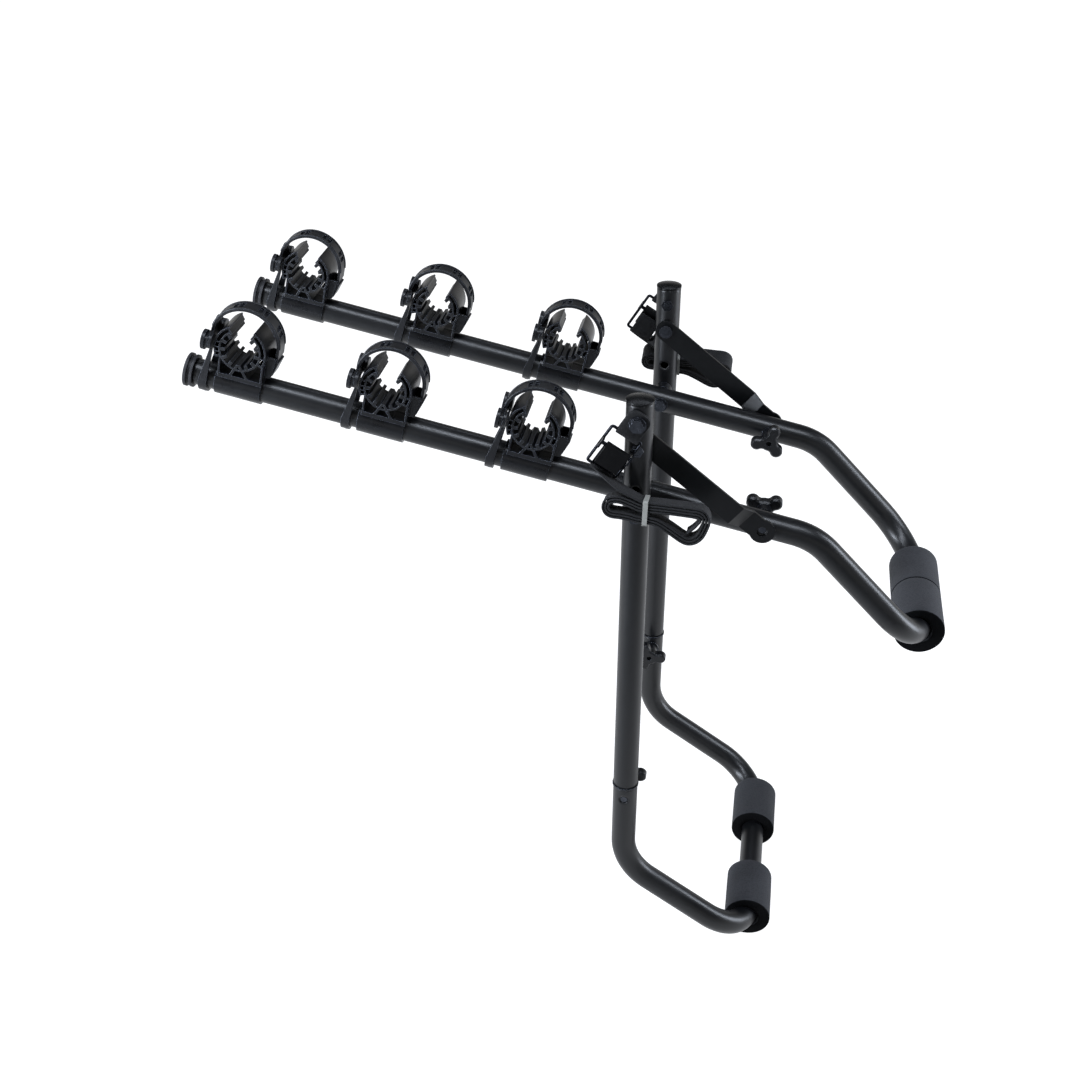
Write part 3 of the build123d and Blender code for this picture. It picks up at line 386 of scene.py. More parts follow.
def webbing_weave(name, base, light):
    """Herringbone twill in metres of the ribbon's UV map, with painted shade in its grooves.
    """
    material, tree, shader, where = new_finish(name)
    split = node(tree, "ShaderNodeSeparateXYZ", {0: where.outputs["UV"]})
    fold = node(tree, "ShaderNodeMath", {
        0: split.outputs["Y"], 1: HERRINGBONE,
    }, operation="PINGPONG")
    slant = node(tree, "ShaderNodeMath", {
        0: fold.outputs[0], 1: SLANT, 2: split.outputs["X"],
    }, operation="MULTIPLY_ADD")
    turn = node(tree, "ShaderNodeMath", {
        0: slant.outputs[0], 1: 2 * math.pi / YARN,
    }, operation="MULTIPLY")
    wave = node(tree, "ShaderNodeMath", {0: turn.outputs[0]}, operation="SINE")
    fuzz = node(tree, "ShaderNodeTexNoise", {
        "Vector": where.outputs["Object"], "Scale": 1 / FUZZ, "Detail": 3,
    }).outputs[0]
    height = node(tree, "ShaderNodeMath", {
        0: wave.outputs[0], 1: 0.4, 2: fuzz,
    }, operation="MULTIPLY_ADD")
    # painted shade: the colour follows the weave's height, darker in the grooves between
    # yarns and lighter on their crests
    painted_weave_shading = node(tree, "ShaderNodeMapRange", {
        "Value": height.outputs[0], "From Min": 0.1, "From Max": 0.9,
    })
    colour = node(tree, "ShaderNodeMix", {
        0: painted_weave_shading.outputs[0], COLOUR_A: srgb(base), COLOUR_B: srgb(light),
    }, data_type="RGBA")
    bump = node(tree, "ShaderNodeBump", {
        "Height": height.outputs[0], "Distance": 0.2 * MM, "Strength": 0.9,
    })
    feed(tree, shader, {
        "Base Color": colour.outputs[MIXED], "Roughness": 0.66,
        "Specular IOR Level": 0.3, "Sheen Weight": 0.06, "Sheen Roughness": 0.5,
        "Normal": bump.outputs[0],
    })
    return material


WEBBING = webbing_weave("black_webbing", "030304", "111215")
THREAD = moulded(
    "polyester_thread", "26272b", "3a3b40", "4a4b50", (0.5, 0.65), 0.5 * MM, 0.1 * MM)
tell(WEBBING, THREAD)

# %% [markdown]
# ## Caps and ties
# The caps are polished black ABS, which keeps a bright narrow highlight. The
# ties are natural nylon: pale, smooth and slightly clear, so a little light
# passes under its skin. Both are one function, because they differ only in
# colour, polish and that inner glow. Fine scratches change the roughness.

# %%
GLOW_DEPTH = 2 * MM


def polished(name, base, rough, round_off, scratch_size, glow=0.0):
    """Smooth plastic with fine scratches, and an inner glow where it is clear."""
    material, tree, shader, where = new_finish(name)
    scratch = node(tree, "ShaderNodeTexNoise", {
        "Vector": where.outputs["Object"], "Scale": 1 / scratch_size, "Detail": 6,
    }).outputs[0]
    dull = node(tree, "ShaderNodeMapRange", {
        "Value": scratch, **NOISE_SPAN, "To Min": rough[0], "To Max": rough[1],
    })
    shade = node(tree, "ShaderNodeMapRange", {
        "Value": scratch, **NOISE_SPAN, "To Min": 0.9, "To Max": 1.0,
    })
    colour = node(tree, "ShaderNodeMix", {
        0: shade.outputs[0], COLOUR_A: srgb("000000"), COLOUR_B: srgb(base),
    }, data_type="RGBA")
    edge = node(tree, "ShaderNodeBevel", {"Radius": round_off}, samples=EDGE_SAMPLES)
    bump = node(tree, "ShaderNodeBump", {
        "Height": scratch, "Distance": 0.05 * MM, "Strength": 0.3,
        "Normal": edge.outputs[0],
    })
    feed(tree, shader, {
        "Base Color": colour.outputs[MIXED], "Roughness": dull.outputs[0],
        "Specular IOR Level": 0.3, "Subsurface Weight": glow,
        "Subsurface Scale": GLOW_DEPTH, "Subsurface Radius": (1, 1, 1),
        "Normal": bump.outputs[0],
    })
    return material


CAP_ABS = polished("polished_abs", "050608", (0.2, 0.3), 0.7 * MM, 6 * MM)
TIE_NYLON = polished("natural_nylon", "8d8d88", (0.35, 0.5), 0.3 * MM, 3 * MM, glow=0.15)
tell(CAP_ABS, TIE_NYLON)

# %% [markdown]
# ## CAD pieces that keep their shape
# Every hard piece is shown as packed and only takes its finish. It could be
# modelled again here, but the CAD shape is already the real size and moves with
# its joint, so one table of finishes and names is all that it needs.

# %%
FINISH = {
    TUBE_PAINT: ["arm_frame", "upright_near", "upright_far", "lower_frame"],
    STRIP_PAINT: ["brace_near", "brace_far"],
    PLASTIC: ["foot_rings", "pivot_spacers"] + [f"cradle_{tag}" for tag in CRADLES],
    RUBBER: [f"{kind}_{tag}" for kind in ("liner", "yoke", "strap") for tag in CRADLES],
    KNOB_PLASTIC: [f"{place}_knob_{side}" for place in ("arm", "leg") for side in SIDES],
    LEVER_PLASTIC: ["lever_near", "lever_far"],
    PLUG_RUBBER: ["arm_plugs"],
    CAP_ABS: ["upright_caps"],
    STEEL: ["leg_spigots"],
    BOLT_STEEL: ["pivot_bolts", "strap_bolts", "brace_bolts", "lock_nuts"]
    + [f"{place}_stud_{side}" for place in ("arm", "leg") for side in SIDES],
    WIRE_STEEL: ["buckle_frames"],
    TIE_NYLON: ["webbing_ties"],
}

for material, names in FINISH.items():
    for name in names:
        nodes[name].data.materials.clear()
        nodes[name].data.materials.append(material)
print("finished CAD pieces:", sum(len(names) for names in FINISH.values()))

# %% [markdown]
# ## Pieces made here
# Foam, webbing, stitches and rails are soft or fine things that CAD solids only
# stand in for. Each is made as a plain mesh in the model's own place, so its
# object stays at the origin. One function links it, names the body that it
# moves with, and hides the CAD pieces it stands for.


# %%
def dress(name, mesh, body, material, stands_for=None):
    """Link a finished mesh as a smooth piece that rides on a CAD body."""
    obj = bpy.data.objects.new(name, mesh)
    bpy.context.scene.collection.objects.link(obj)
    mesh.polygons.foreach_set("use_smooth", [True] * len(mesh.polygons))
    mesh.materials.append(material)
    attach(obj, body)
    if stands_for:
        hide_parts(stands_for)
    return obj


# %% [markdown]
# ### The section of a foam sleeve
# The real sleeves are cut from extruded foam tube and pushed on the bar. A cut
# end is flat with a small soft rim. A bevelled cylinder would come close, but
# half a section, drawn point by point and then turned, gives the same rim and
# leaves every ring free to swell a little, as foam does.

# %%
TUBE_R = 14 * MM
SLEEVE_GAP = 0.2 * MM                   # between the bar and the foam
PAD_RIM = 1.6 * MM
RIM_STEPS = 6
RUN_STEPS = 13


def sleeve_profile(y_low, y_high, r_out, r_in):
    """Half section of a sleeve: flat cut ends, soft rims and a plain run."""
    rim = []
    for k in range(RIM_STEPS + 1):
        a = math.pi / 2 * k / RIM_STEPS
        rim.append((PAD_RIM * (1 - math.sin(a)), r_out - PAD_RIM * (1 - math.cos(a))))
    rim = [(0.0, r_in), (0.0, (r_in + r_out) / 2)] + rim[::-1]
    run = y_high - y_low - 2 * PAD_RIM
    plain = [(y_low + PAD_RIM + run * k / RUN_STEPS, r_out) for k in range(1, RUN_STEPS)]
    start = [(y_low + y, r) for y, r in rim]
    return start + plain + [(y_high - y, r) for y, r in reversed(rim)]


low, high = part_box("lower_pads")
print("foam sleeves across, mm:", round((high.x - low.x) / MM, 1))

# %% [markdown]
# ### Turning the sleeves
# The section is turned round the bar in mesh code, and a smooth noise pushes
# each point of the outer skin in by up to half a millimetre. The faces that look
# along the bar are the cut ends, so they take the finish of cut foam. The upper
# bar has two sleeves that meet at a seam, the lower bar one near each end.

# %%
PAD_SIDES = 96
PAD_SWELL = 0.5 * MM
WAVE_ROUND, WAVE_ALONG = 1.2, 22        # how fast the noise changes
OUTER_SKIN = TUBE_R + 1 * MM            # only points further out than this swell
CUT_END = 0.6                           # a face that looks more than this along y
SEAM = 0.5 * MM
PAD_LENGTH = 73 * MM                    # one lower sleeve


def foam_sleeve(name, solid, y_low, y_high, body):
    """A turned foam sleeve round the bar, in place of a CAD solid."""
    low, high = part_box(solid)
    x, z, r_out = (low.x + high.x) / 2, (low.z + high.z) / 2, (high.x - low.x) / 2
    bm = bmesh.new()
    rings = []
    for y, r in sleeve_profile(y_low, y_high, r_out, TUBE_R + SLEEVE_GAP):
        ring = []
        for k in range(PAD_SIDES):
            a = 2 * math.pi * k / PAD_SIDES
            at = Vector((WAVE_ROUND * math.cos(a), WAVE_ALONG * y, WAVE_ROUND * math.sin(a)))
            swell = noise.noise(at)
            reach = r - PAD_SWELL * (0.5 - 0.5 * swell) if r > OUTER_SKIN else r
            ring.append(bm.verts.new((x + reach * math.cos(a), y, z + reach * math.sin(a))))
        rings.append(ring)
    for a, b in zip(rings, rings[1:] + rings[:1]):
        for k in range(PAD_SIDES):
            j = (k + 1) % PAD_SIDES
            bm.faces.new((a[k], a[j], b[j], b[k]))
    bmesh.ops.recalc_face_normals(bm, faces=bm.faces)
    mesh = bpy.data.meshes.new(name)
    bm.to_mesh(mesh)
    bm.free()
    sleeve = dress(name, mesh, body, FOAM, solid)
    mesh.materials.append(CUT_FOAM)
    for face in mesh.polygons:
        face.material_index = int(abs(face.normal.y) > CUT_END)
    print(name, "length, mm:", round((y_high - y_low) / MM, 1))


low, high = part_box("upper_pads")
meeting = (low.y + high.y) / 2
foam_sleeve("upper_foam_near", "upper_pads", low.y, meeting - SEAM / 2, "carrying_frame")
foam_sleeve("upper_foam_far", "upper_pads", meeting + SEAM / 2, high.y, "carrying_frame")
low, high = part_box("lower_pads")
foam_sleeve("lower_foam_near", "lower_pads", low.y, low.y + PAD_LENGTH, "stand")
foam_sleeve("lower_foam_far", "lower_pads", high.y - PAD_LENGTH, high.y, "stand")

# %% [markdown]
# ## Webbing
# Webbing is a flat woven ribbon, 25 mm wide and 2 mm thick, with rounded
# selvedges. A plane with a Solidify modifier would nearly do, but its thickness
# would pinch where the ribbon turns on edge. So each run is given by its two
# edges, point by point, and a function skins them with a section of even
# thickness. The first helper draws a smooth curve through a few given points.

# %%
WIDE = 25.0                             # the webbing's width in mm
WEB_W = WIDE * MM
WEB_T = 2.0 * MM
SELVEDGE = 0.9 * MM
THIN_EDGE = 0.35                        # thickness left at the selvedge, as a share
ACROSS = (0.0, 0.012, 0.04, 0.16, 0.33, 0.5, 0.67, 0.84, 0.96, 0.988, 1.0)


def smooth_run(points, closed=False, steps=6):
    """A smooth curve that passes through every point."""
    n, out = len(points), []
    for k in range(n if closed else n - 1):
        p = []
        for j in (-1, 0, 1, 2):
            p.append(points[(k + j) % n if closed else min(max(k + j, 0), n - 1)])
        for s in range(steps):
            t = s / steps
            line_part = 2 * p[1] + (p[2] - p[0]) * t
            square = (2 * p[0] - 5 * p[1] + 4 * p[2] - p[3]) * t**2
            cube = (3 * p[1] - p[0] - 3 * p[2] + p[3]) * t**3
            out.append(0.5 * (line_part + (square + cube)))
    return out if closed else out + [points[-1]]


corner = smooth_run([Vector((0, 0, 0)), Vector((1, 0, 0)), Vector((1, 1, 0))])
print("a corner of 3 points becomes", len(corner), "points")

# %% [markdown]
# ### Skinning a ribbon
# At each pair of edge points the section is laid across the pair, thinned
# towards the selvedges, and joined to the one before. The UV map takes metres
# along and across, so that the weave keeps its size round every bend. The
# length along the middle is what the webbing was cut to.


# %%
def ribbon(bm, edges):
    """Add a closed ribbon between pairs of edge points; returns its length."""
    uv = bm.loops.layers.uv.verify()
    section = [(v, 1) for v in ACROSS] + [(v, -1) for v in reversed(ACROSS)]
    rows, along, run = [], [], 0.0
    for k, (a, b) in enumerate(edges):
        a0, b0 = edges[max(k - 1, 0)]
        a1, b1 = edges[min(k + 1, len(edges) - 1)]
        run += ((a + b) / 2 - (a0 + b0) / 2).length if k else 0.0
        along.append(run)
        face_on = (b - a).cross((a1 + b1) - (a0 + b0)).normalized()
        width = (b - a).length
        row = []
        for v, side in section:
            into = min(min(v, 1 - v) * width / SELVEDGE, 1.0)
            bulge = math.sqrt(1 - (1 - into) ** 2)
            half = WEB_T / 2 * (THIN_EDGE + (1 - THIN_EDGE) * bulge)
            row.append(bm.verts.new(a.lerp(b, v) + face_on * half * side))
        rows.append(row)
    size = len(section)
    for i, j in zip(range(len(rows)), range(1, len(rows))):
        for k in range(size):
            m = (k + 1) % size
            face = bm.faces.new((rows[i][k], rows[i][m], rows[j][m], rows[j][k]))
            for corner, (row, c) in zip(face.loops, ((i, k), (i, m), (j, m), (j, k))):
                corner[uv].uv = (along[row], section[c][0] * WEB_W)
    bm.faces.new(rows[0])
    bm.faces.new(rows[-1])
    return run


def webbing(name, runs, stands_for):
    """One piece of webbing from its runs, in place of a CAD solid."""
    bm = bmesh.new()
    length = sum(ribbon(bm, edges) for edges in runs)
    bmesh.ops.recalc_face_normals(bm, faces=bm.faces)
    mesh = bpy.data.meshes.new(name)
    bm.to_mesh(mesh)
    bm.free()
    piece = dress(name, mesh, "stand", WEBBING, stands_for)
    print(name, "length, mm:", round(length / MM))


print("points in the webbing's section:", 2 * len(ACROSS))

# %% [markdown]
# ### Where the buckles and hanks lie
# The buckle hangs from its bolt at a slant, and the hank lies tilted beside the
# upright. Working out every point in the model's axes would be hard to read, so
# two small frames give places in millimetres: one from the webbing's bolt along
# the buckle, one from the pivot bolt on the tilt of the hank. Both start from
# the boxes of CAD pieces, so the webbing stays on what carries it.

# %%
bolt_low, bolt_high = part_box("strap_bolts")
BOLT = (bolt_low + bolt_high) / 2
pivot_low, pivot_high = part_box("pivot_bolts")
PIVOT = (pivot_low + pivot_high) / 2
FACE_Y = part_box("upright_far")[1].y     # outer face of an upright
LEAN = math.radians(238.3)
TILT = math.radians(15)
HANK_X, HANK_Z, HANK_OUT = 20.0, 11.0, 6.5


def in_buckle(side, along, across, out):
    """Place in the leaning buckle's frame, in mm, as a place in the model."""
    x = along * math.cos(LEAN) - across * math.sin(LEAN)
    z = along * math.sin(LEAN) + across * math.cos(LEAN)
    return Vector((BOLT.x + x * MM, side * (FACE_Y + out * MM), BOLT.z + z * MM))


def in_hank(side, a, b, w):
    """Place in the tilted hank's frame, in mm, as a place in the model."""
    out = HANK_OUT - b * math.sin(TILT) + w * math.cos(TILT)
    up = HANK_Z + b * math.cos(TILT) + w * math.sin(TILT)
    return Vector((
        PIVOT.x + (HANK_X + a) * MM, side * (FACE_Y + out * MM), PIVOT.z + up * MM,
    ))


print("webbing's bolt, mm:", [round(v / MM, 1) for v in (BOLT.x, BOLT.z)])
print("pivot bolt, mm:", [round(v / MM, 1) for v in (PIVOT.x, PIVOT.z)])

# %% [markdown]
# ### The wound hank
# Spare webbing is wound on edge round a long loop and tied at its waist.
# Separate closed rings would be simple, but no strap has them, and a plain
# spiral would be round. So a closed core line gives the clear shape inside the
# first turn, and one line winds round it, a pitch further out with each turn.
# The free inner end leans into the right-hand eye of the loop.

# %%
CORE = (
    (47.0, 0.5), (44.8, 3.0), (37.0, 3.4), (25.0, 4.0), (8.0, 4.5), (-1.0, 4.6),
    (-13.0, 4.8), (-22.0, 7.8), (-33.0, 11.0), (-39.3, 10.6), (-41.5, 8.5),
    (-39.5, 6.4), (-31.0, 6.0), (-22.0, 5.2), (-13.0, 3.5), (-1.0, 3.2), (9.0, 0.8),
    (21.2, -5.5), (34.0, -13.0), (39.0, -13.8), (43.0, -10.8), (45.6, -5.0),
)
TAIL = ((35.5, -12.5), (39.4, -9.4), (42.9, -5.9), (45.9, -2.2))
PITCH = 2.9
TURNS = 3.27
FIRST_OUT = 1.1                         # first turn's middle line from the core, mm


def wound_line():
    """Middle line of the wound webbing, from its free end outwards, in mm."""
    core = smooth_run([Vector((a, b, 0)) for a, b in CORE], closed=True, steps=12)
    n = len(core)
    out = []
    for k in range(n):
        d = (core[(k + 1) % n] - core[k - 1]).normalized()
        out.append(Vector((d.y, -d.x, 0)))
    mean = [core[k] + out[k] * PITCH * TURNS / 2 for k in range(n)]
    steps = [(mean[(k + 1) % n] - mean[k]).length for k in range(n)]
    whole, done, k, line = sum(steps), 0.0, 0, []
    while done / whole <= TURNS:
        line.append(core[k % n] + out[k % n] * (FIRST_OUT + PITCH * done / whole))
        done += steps[k % n]
        k += 1
    tail = smooth_run([Vector((a, b, 0)) for a, b in TAIL] + [line[0]], steps=4)[:-1]
    return tail + line


hank_line = wound_line()
for word, side in SIDES.items():
    edges = [(in_hank(side, p.x, p.y, 0), in_hank(side, p.x, p.y, WIDE)) for p in hank_line]
    webbing(f"webbing_hank_{word}", [edges], f"hank_{word}")

# %% [markdown]
# ### The loop at the bolt
# A short piece of webbing is folded round the buckle's first wire, and both of
# its layers sit under the washer of the bolt. They could be two ribbons, but the
# fold would show a joint, so one path goes out along the lower layer, round the
# wire and back along the upper one. Beyond the bolt the corners are cut round,
# so the path is narrower there.

# %%
WIRE_1, WIRE_OUT = 15.0, 5.2            # from the bolt, and off the upright's face
ROLL = 2.85                             # wire's middle to the webbing's middle
LOOP_BACK, LOOP_SHIFT, LOOP_ROUND = -11.3, -1.2, 8.0
LAYERS_OUT = (1.45, 3.75)
LOOP_STEPS = (0.15, 0.6, 1.4, 2.6, 4.2, 6.0, 8.0, 12.0, 17.0, 21.0)


def half_width(along):
    """Half the loop's width: its corners are cut round beyond the bolt."""
    into = along - LOOP_BACK
    if into >= LOOP_ROUND:
        return WIDE / 2
    return WIDE / 2 - LOOP_ROUND + math.sqrt(LOOP_ROUND**2 - (LOOP_ROUND - into) ** 2)


def round_wire(at, start, end, steps=12):
    """Places round a wire between two angles, as (along, out)."""
    turn = [math.radians(start + (end - start) * k / steps) for k in range(steps + 1)]
    return [(at + ROLL * math.cos(a), WIRE_OUT + ROLL * math.sin(a)) for a in turn]


back = [LOOP_BACK + d for d in LOOP_STEPS]
under = [(a, LAYERS_OUT[0]) for a in back]
over = [(a, LAYERS_OUT[1]) for a in reversed(back)]
loop_path = under + round_wire(WIRE_1, -80, 100) + over


def loop_edges(side):
    """Edge pairs of the folded loop, on one side of the carrier."""
    loop = []
    for along, out in loop_path:
        half = half_width(along)
        loop.append((
            in_buckle(side, along, LOOP_SHIFT - half, out),
            in_buckle(side, along, LOOP_SHIFT + half, out),
        ))
    return loop


print("edge pairs of the loop:", len(loop_path))

# %% [markdown]
# ### The run down to the hank
# The long webbing passes under the lever, goes round the second wire, turns on
# edge and runs down into the tie. A single middle line couldn't say how the
# webbing twists on the way, so it is two runs of edges: a flat one round the
# wire, and one given by its lower and upper edge, which ends in the hank's line.

# %%
WIRE_2 = 61.5
LEAD_SHIFT = -1.5
LEAD_START, LEAD_STEP, LEAD_OUT = 37.0, 3.0, 2.0        # flat run under the lever
LEAD_RUN = (                            # lower and upper edge: along, across, out
    ((64.0, -13.8, 2.8), (64.0, -13.8, 7.6)),
    ((64.6, -2.0, 1.9), (63.6, -3.0, 13.0)),
    ((65.0, 11.0, 1.6), (63.0, 9.0, 20.0)),
    ((65.6, 25.0, 1.6), (61.9, 23.0, 25.3)),
    ((65.1, 38.0, 1.8), (60.1, 35.7, 26.3)),
)
INTO_TIE = (4.5, 0.6)                   # last points, short of the hank's outer end

flat_path = [(LEAD_START + LEAD_STEP * k, LEAD_OUT) for k in range(8)]
flat_path += round_wire(WIRE_2, -80, 95)
end = hank_line[-1]


def lead_edges(side):
    """Edge pairs of the flat run round the wire, and of the run on edge."""
    flat = [
        (in_buckle(side, a, LEAD_SHIFT - WIDE / 2, out),
         in_buckle(side, a, LEAD_SHIFT + WIDE / 2, out))
        for a, out in flat_path
    ]
    lower = [in_buckle(side, *pair[0]) for pair in LEAD_RUN]
    upper = [in_buckle(side, *pair[1]) for pair in LEAD_RUN]
    for short in INTO_TIE:
        lower.append(in_hank(side, end.x - short, end.y, 0))
        upper.append(in_hank(side, end.x - short, end.y, WIDE))
    return flat, list(zip(smooth_run(lower), smooth_run(upper)))


for word, side in SIDES.items():
    webbing(f"webbing_loop_{word}", [loop_edges(side)], "webbing_anchors")
    webbing(f"webbing_lead_{word}", lead_edges(side), f"lead_{word}")

# %% [markdown]
# ## Geometry Nodes: what every tree starts from
# Stitches and rails repeat or follow a path, which is what Geometry Nodes are
# for: the path is a bare curve, and a small tree dresses it. The sizes are the
# tree's named inputs, so one tree serves every place that it is used in.


# %%
def tree_inputs(name, wanted):
    """A new geometry tree with its group ends and named inputs."""
    tree = bpy.data.node_groups.new(name, "GeometryNodeTree")
    for in_out in ("INPUT", "OUTPUT"):
        tree.interface.new_socket(
            "Geometry", in_out=in_out, socket_type="NodeSocketGeometry")
    for label, kind in wanted.items():
        tree.interface.new_socket(label, in_out="INPUT", socket_type=kind)
    print("tree:", name, "inputs:", ", ".join(wanted))
    return tree, node(tree, "NodeGroupInput"), node(tree, "NodeGroupOutput")


def grown(name, paths, tree, values, body, material):
    """Run a geometry tree on curves through paths and keep the result as a piece."""
    curve = bpy.data.curves.new(name + "_path", "CURVE")
    curve.dimensions = "3D"
    for path in paths:
        spline = curve.splines.new("POLY")
        spline.points.add(len(path) - 1)
        for point, at in zip(spline.points, path):
            point.co = (*at, 1.0)
    carrier = bpy.data.objects.new(name + "_path", curve)
    bpy.context.scene.collection.objects.link(carrier)
    modifier = carrier.modifiers.new(name, "NODES")
    modifier.node_group = tree
    for item in tree.interface.items_tree:
        if item.in_out == "INPUT" and item.name in values:
            modifier[item.identifier] = values[item.name]
    graph = bpy.context.evaluated_depsgraph_get()
    mesh = bpy.data.meshes.new_from_object(carrier.evaluated_get(graph))
    bpy.data.objects.remove(carrier)
    bpy.data.curves.remove(curve)
    mesh.materials.clear()
    dress(name, mesh, body, material)
    print(name, "faces:", len(mesh.polygons))


print("points along the hank's line, a path for stitches:", len(hank_line))

# %% [markdown]
# ### A row of stitches
# The webbing is edged with a row of polyester stitches, 2.8 mm apart. Each one
# shows as a short bead of thread. Setting hundreds by hand is hopeless, and an
# array would not turn with the path, so the tree cuts the curve into even steps,
# puts a small stretched ball on each and turns it along the curve. The ball has
# few faces, because there are hundreds. The last two nodes make the copies real
# and give them their finish, because copies alone are dropped from the export.


# %%
def row_of_stitches():
    """Thread beads at even steps along a curve."""
    tree, given, result = tree_inputs("row_of_stitches", {
        "Spacing": "NodeSocketFloat", "Thread Radius": "NodeSocketFloat",
        "Stitch Length": "NodeSocketFloat", "Thread": "NodeSocketMaterial",
    })
    points = node(tree, "GeometryNodeCurveToPoints", {
        "Curve": given.outputs["Geometry"], "Length": given.outputs["Spacing"],
    }, mode="LENGTH")
    stitch = node(tree, "GeometryNodeMeshUVSphere", {
        "Segments": 6, "Rings": 4, "Radius": 1.0,
    })
    size = node(tree, "ShaderNodeCombineXYZ", {
        0: given.outputs["Thread Radius"], 1: given.outputs["Thread Radius"],
        2: given.outputs["Stitch Length"],
    })
    placed = node(tree, "GeometryNodeInstanceOnPoints", {
        "Points": points.outputs["Points"], "Instance": stitch.outputs["Mesh"],
        "Rotation": points.outputs["Rotation"], "Scale": size.outputs[0],
    })
    real = node(tree, "GeometryNodeRealizeInstances", {0: placed.outputs[0]})
    made = node(tree, "GeometryNodeSetMaterial", {
        "Geometry": real.outputs[0], "Material": given.outputs["Thread"],
    })
    tree.links.new(made.outputs[0], result.inputs[0])
    return tree


STITCH_ROW = row_of_stitches()

# %% [markdown]
# ### Stitches on the hanks
# Only the turn of the hank that faces outwards shows its stitches, so the rows
# run along that turn alone, one near each selvedge, just proud of the webbing.

# %%
STITCH_IN = 2.6                         # from the selvedge, mm
STITCH_OUT = 1.02                       # from the webbing's middle, mm
STITCH = {
    "Spacing": 2.8 * MM, "Thread Radius": 0.28 * MM, "Stitch Length": 0.95 * MM,
    "Thread": THREAD,
}

outer_turn = hank_line[-int(len(hank_line) / (TURNS + 0.1)):]
for word, side in SIDES.items():
    rows = []
    for w in (STITCH_IN, WIDE - STITCH_IN):
        row = []
        for k, p in enumerate(outer_turn[1:-1], 1):
            d = (outer_turn[k + 1] - outer_turn[k - 1]).normalized()
            row.append(in_hank(side, p.x + d.y * STITCH_OUT, p.y - d.x * STITCH_OUT, w))
        rows.append(row)
    grown(f"hank_stitches_{word}", rows, STITCH_ROW, STITCH, "stand", THREAD)

# %% [markdown]
# ### A moulded rail
# Each rubber strap has two moulded rails a little proud of its outer face, one
# along each edge, which keep the thin part between them from tearing. A curve
# with a bevel would give the same bead, but a tree has its size as an input: it
# sweeps a ring along the curve and closes the ends.


# %%
def moulded_rail():
    """A bead of round section along a curve, with closed ends."""
    tree, given, result = tree_inputs("moulded_rail", {
        "Bead Radius": "NodeSocketFloat", "Finish": "NodeSocketMaterial",
    })
    ring = node(tree, "GeometryNodeCurvePrimitiveCircle", {
        "Resolution": 10, "Radius": given.outputs["Bead Radius"],
    })
    bead = node(tree, "GeometryNodeCurveToMesh", {
        "Curve": given.outputs["Geometry"], "Profile Curve": ring.outputs[0],
        "Fill Caps": True,
    })
    real = node(tree, "GeometryNodeRealizeInstances", {0: bead.outputs[0]})
    made = node(tree, "GeometryNodeSetMaterial", {
        "Geometry": real.outputs[0], "Material": given.outputs["Finish"],
    })
    tree.links.new(made.outputs[0], result.inputs[0])
    return tree


RAIL = moulded_rail()

# %% [markdown]
# ### Rails on the six straps
# The straps are arcs in the frame of their cradle, and the cradles sit along
# arms that rise by 12 degrees. One arc is worked out in the cradle's frame and
# set on each strap, on the body that opens with it.

# %%
RISE = math.radians(12)
ALONG_ARM = {1: 436.0, 2: 280.0, 3: 123.0}      # cradles, from the arm's pivot
ARM_Y = 112.0
STRAP_MIDDLE = (-1.5, 53.0)                     # in the cradle: to the tip, and up
STRAP_OUT = 37.0
STRAP_ANGLES = range(14, 179, 4)
RAIL_Y = 8.9
RAIL_R = 1.0


def on_cradle(side, along, u, w, y):
    """Place in a cradle's own frame, in mm, as a place in the model."""
    s = along + u
    return Vector((
        PIVOT.x + (-s * math.cos(RISE) + w * math.sin(RISE)) * MM,
        (side * ARM_Y + y) * MM,
        PIVOT.z + (s * math.sin(RISE) + w * math.cos(RISE)) * MM,
    ))


strap_arc = [
    (STRAP_MIDDLE[0] + STRAP_OUT * math.cos(a), STRAP_MIDDLE[1] + STRAP_OUT * math.sin(a))
    for a in (math.radians(angle) for angle in STRAP_ANGLES)
]
for word, side in SIDES.items():
    for k, along in ALONG_ARM.items():
        rails = [
            [on_cradle(side, along, u, w, y) for u, w in strap_arc]
            for y in (-RAIL_Y, RAIL_Y)
        ]
        grown(f"strap_rails_{word}_{k}", rails, RAIL, {
            "Bead Radius": RAIL_R * MM, "Finish": RUBBER,
        }, f"strap_unit_{word}_{k}", RUBBER)

# %% [markdown]
# ## The floor
# The photograph's ground is pure white. A lamp strong enough to burn a floor
# out would wash over the carrier too, so the floor gives the camera its white
# by itself: Light Path tells which ray asks. It is a shade lower near the
# object, where its own lit colour is added, and rises to full white with
# distance. Reflections see it dimmer, and darker still in front, because a real
# studio is not white all round. It also keeps its plain lit colour, so that it
# holds the object's shadow.

# %%
FLOOR_SIZE = 44
FLOOR_WHITE = 0.9                       # near the object, to the camera
WHITE_FROM, WHITE_FULL = 1.0, 2.5       # distances over which it rises to 1
FLOOR_SHINE = 0.6                       # to reflections
FRONT_SHINE = 0.06
FRONT_Y = -0.9

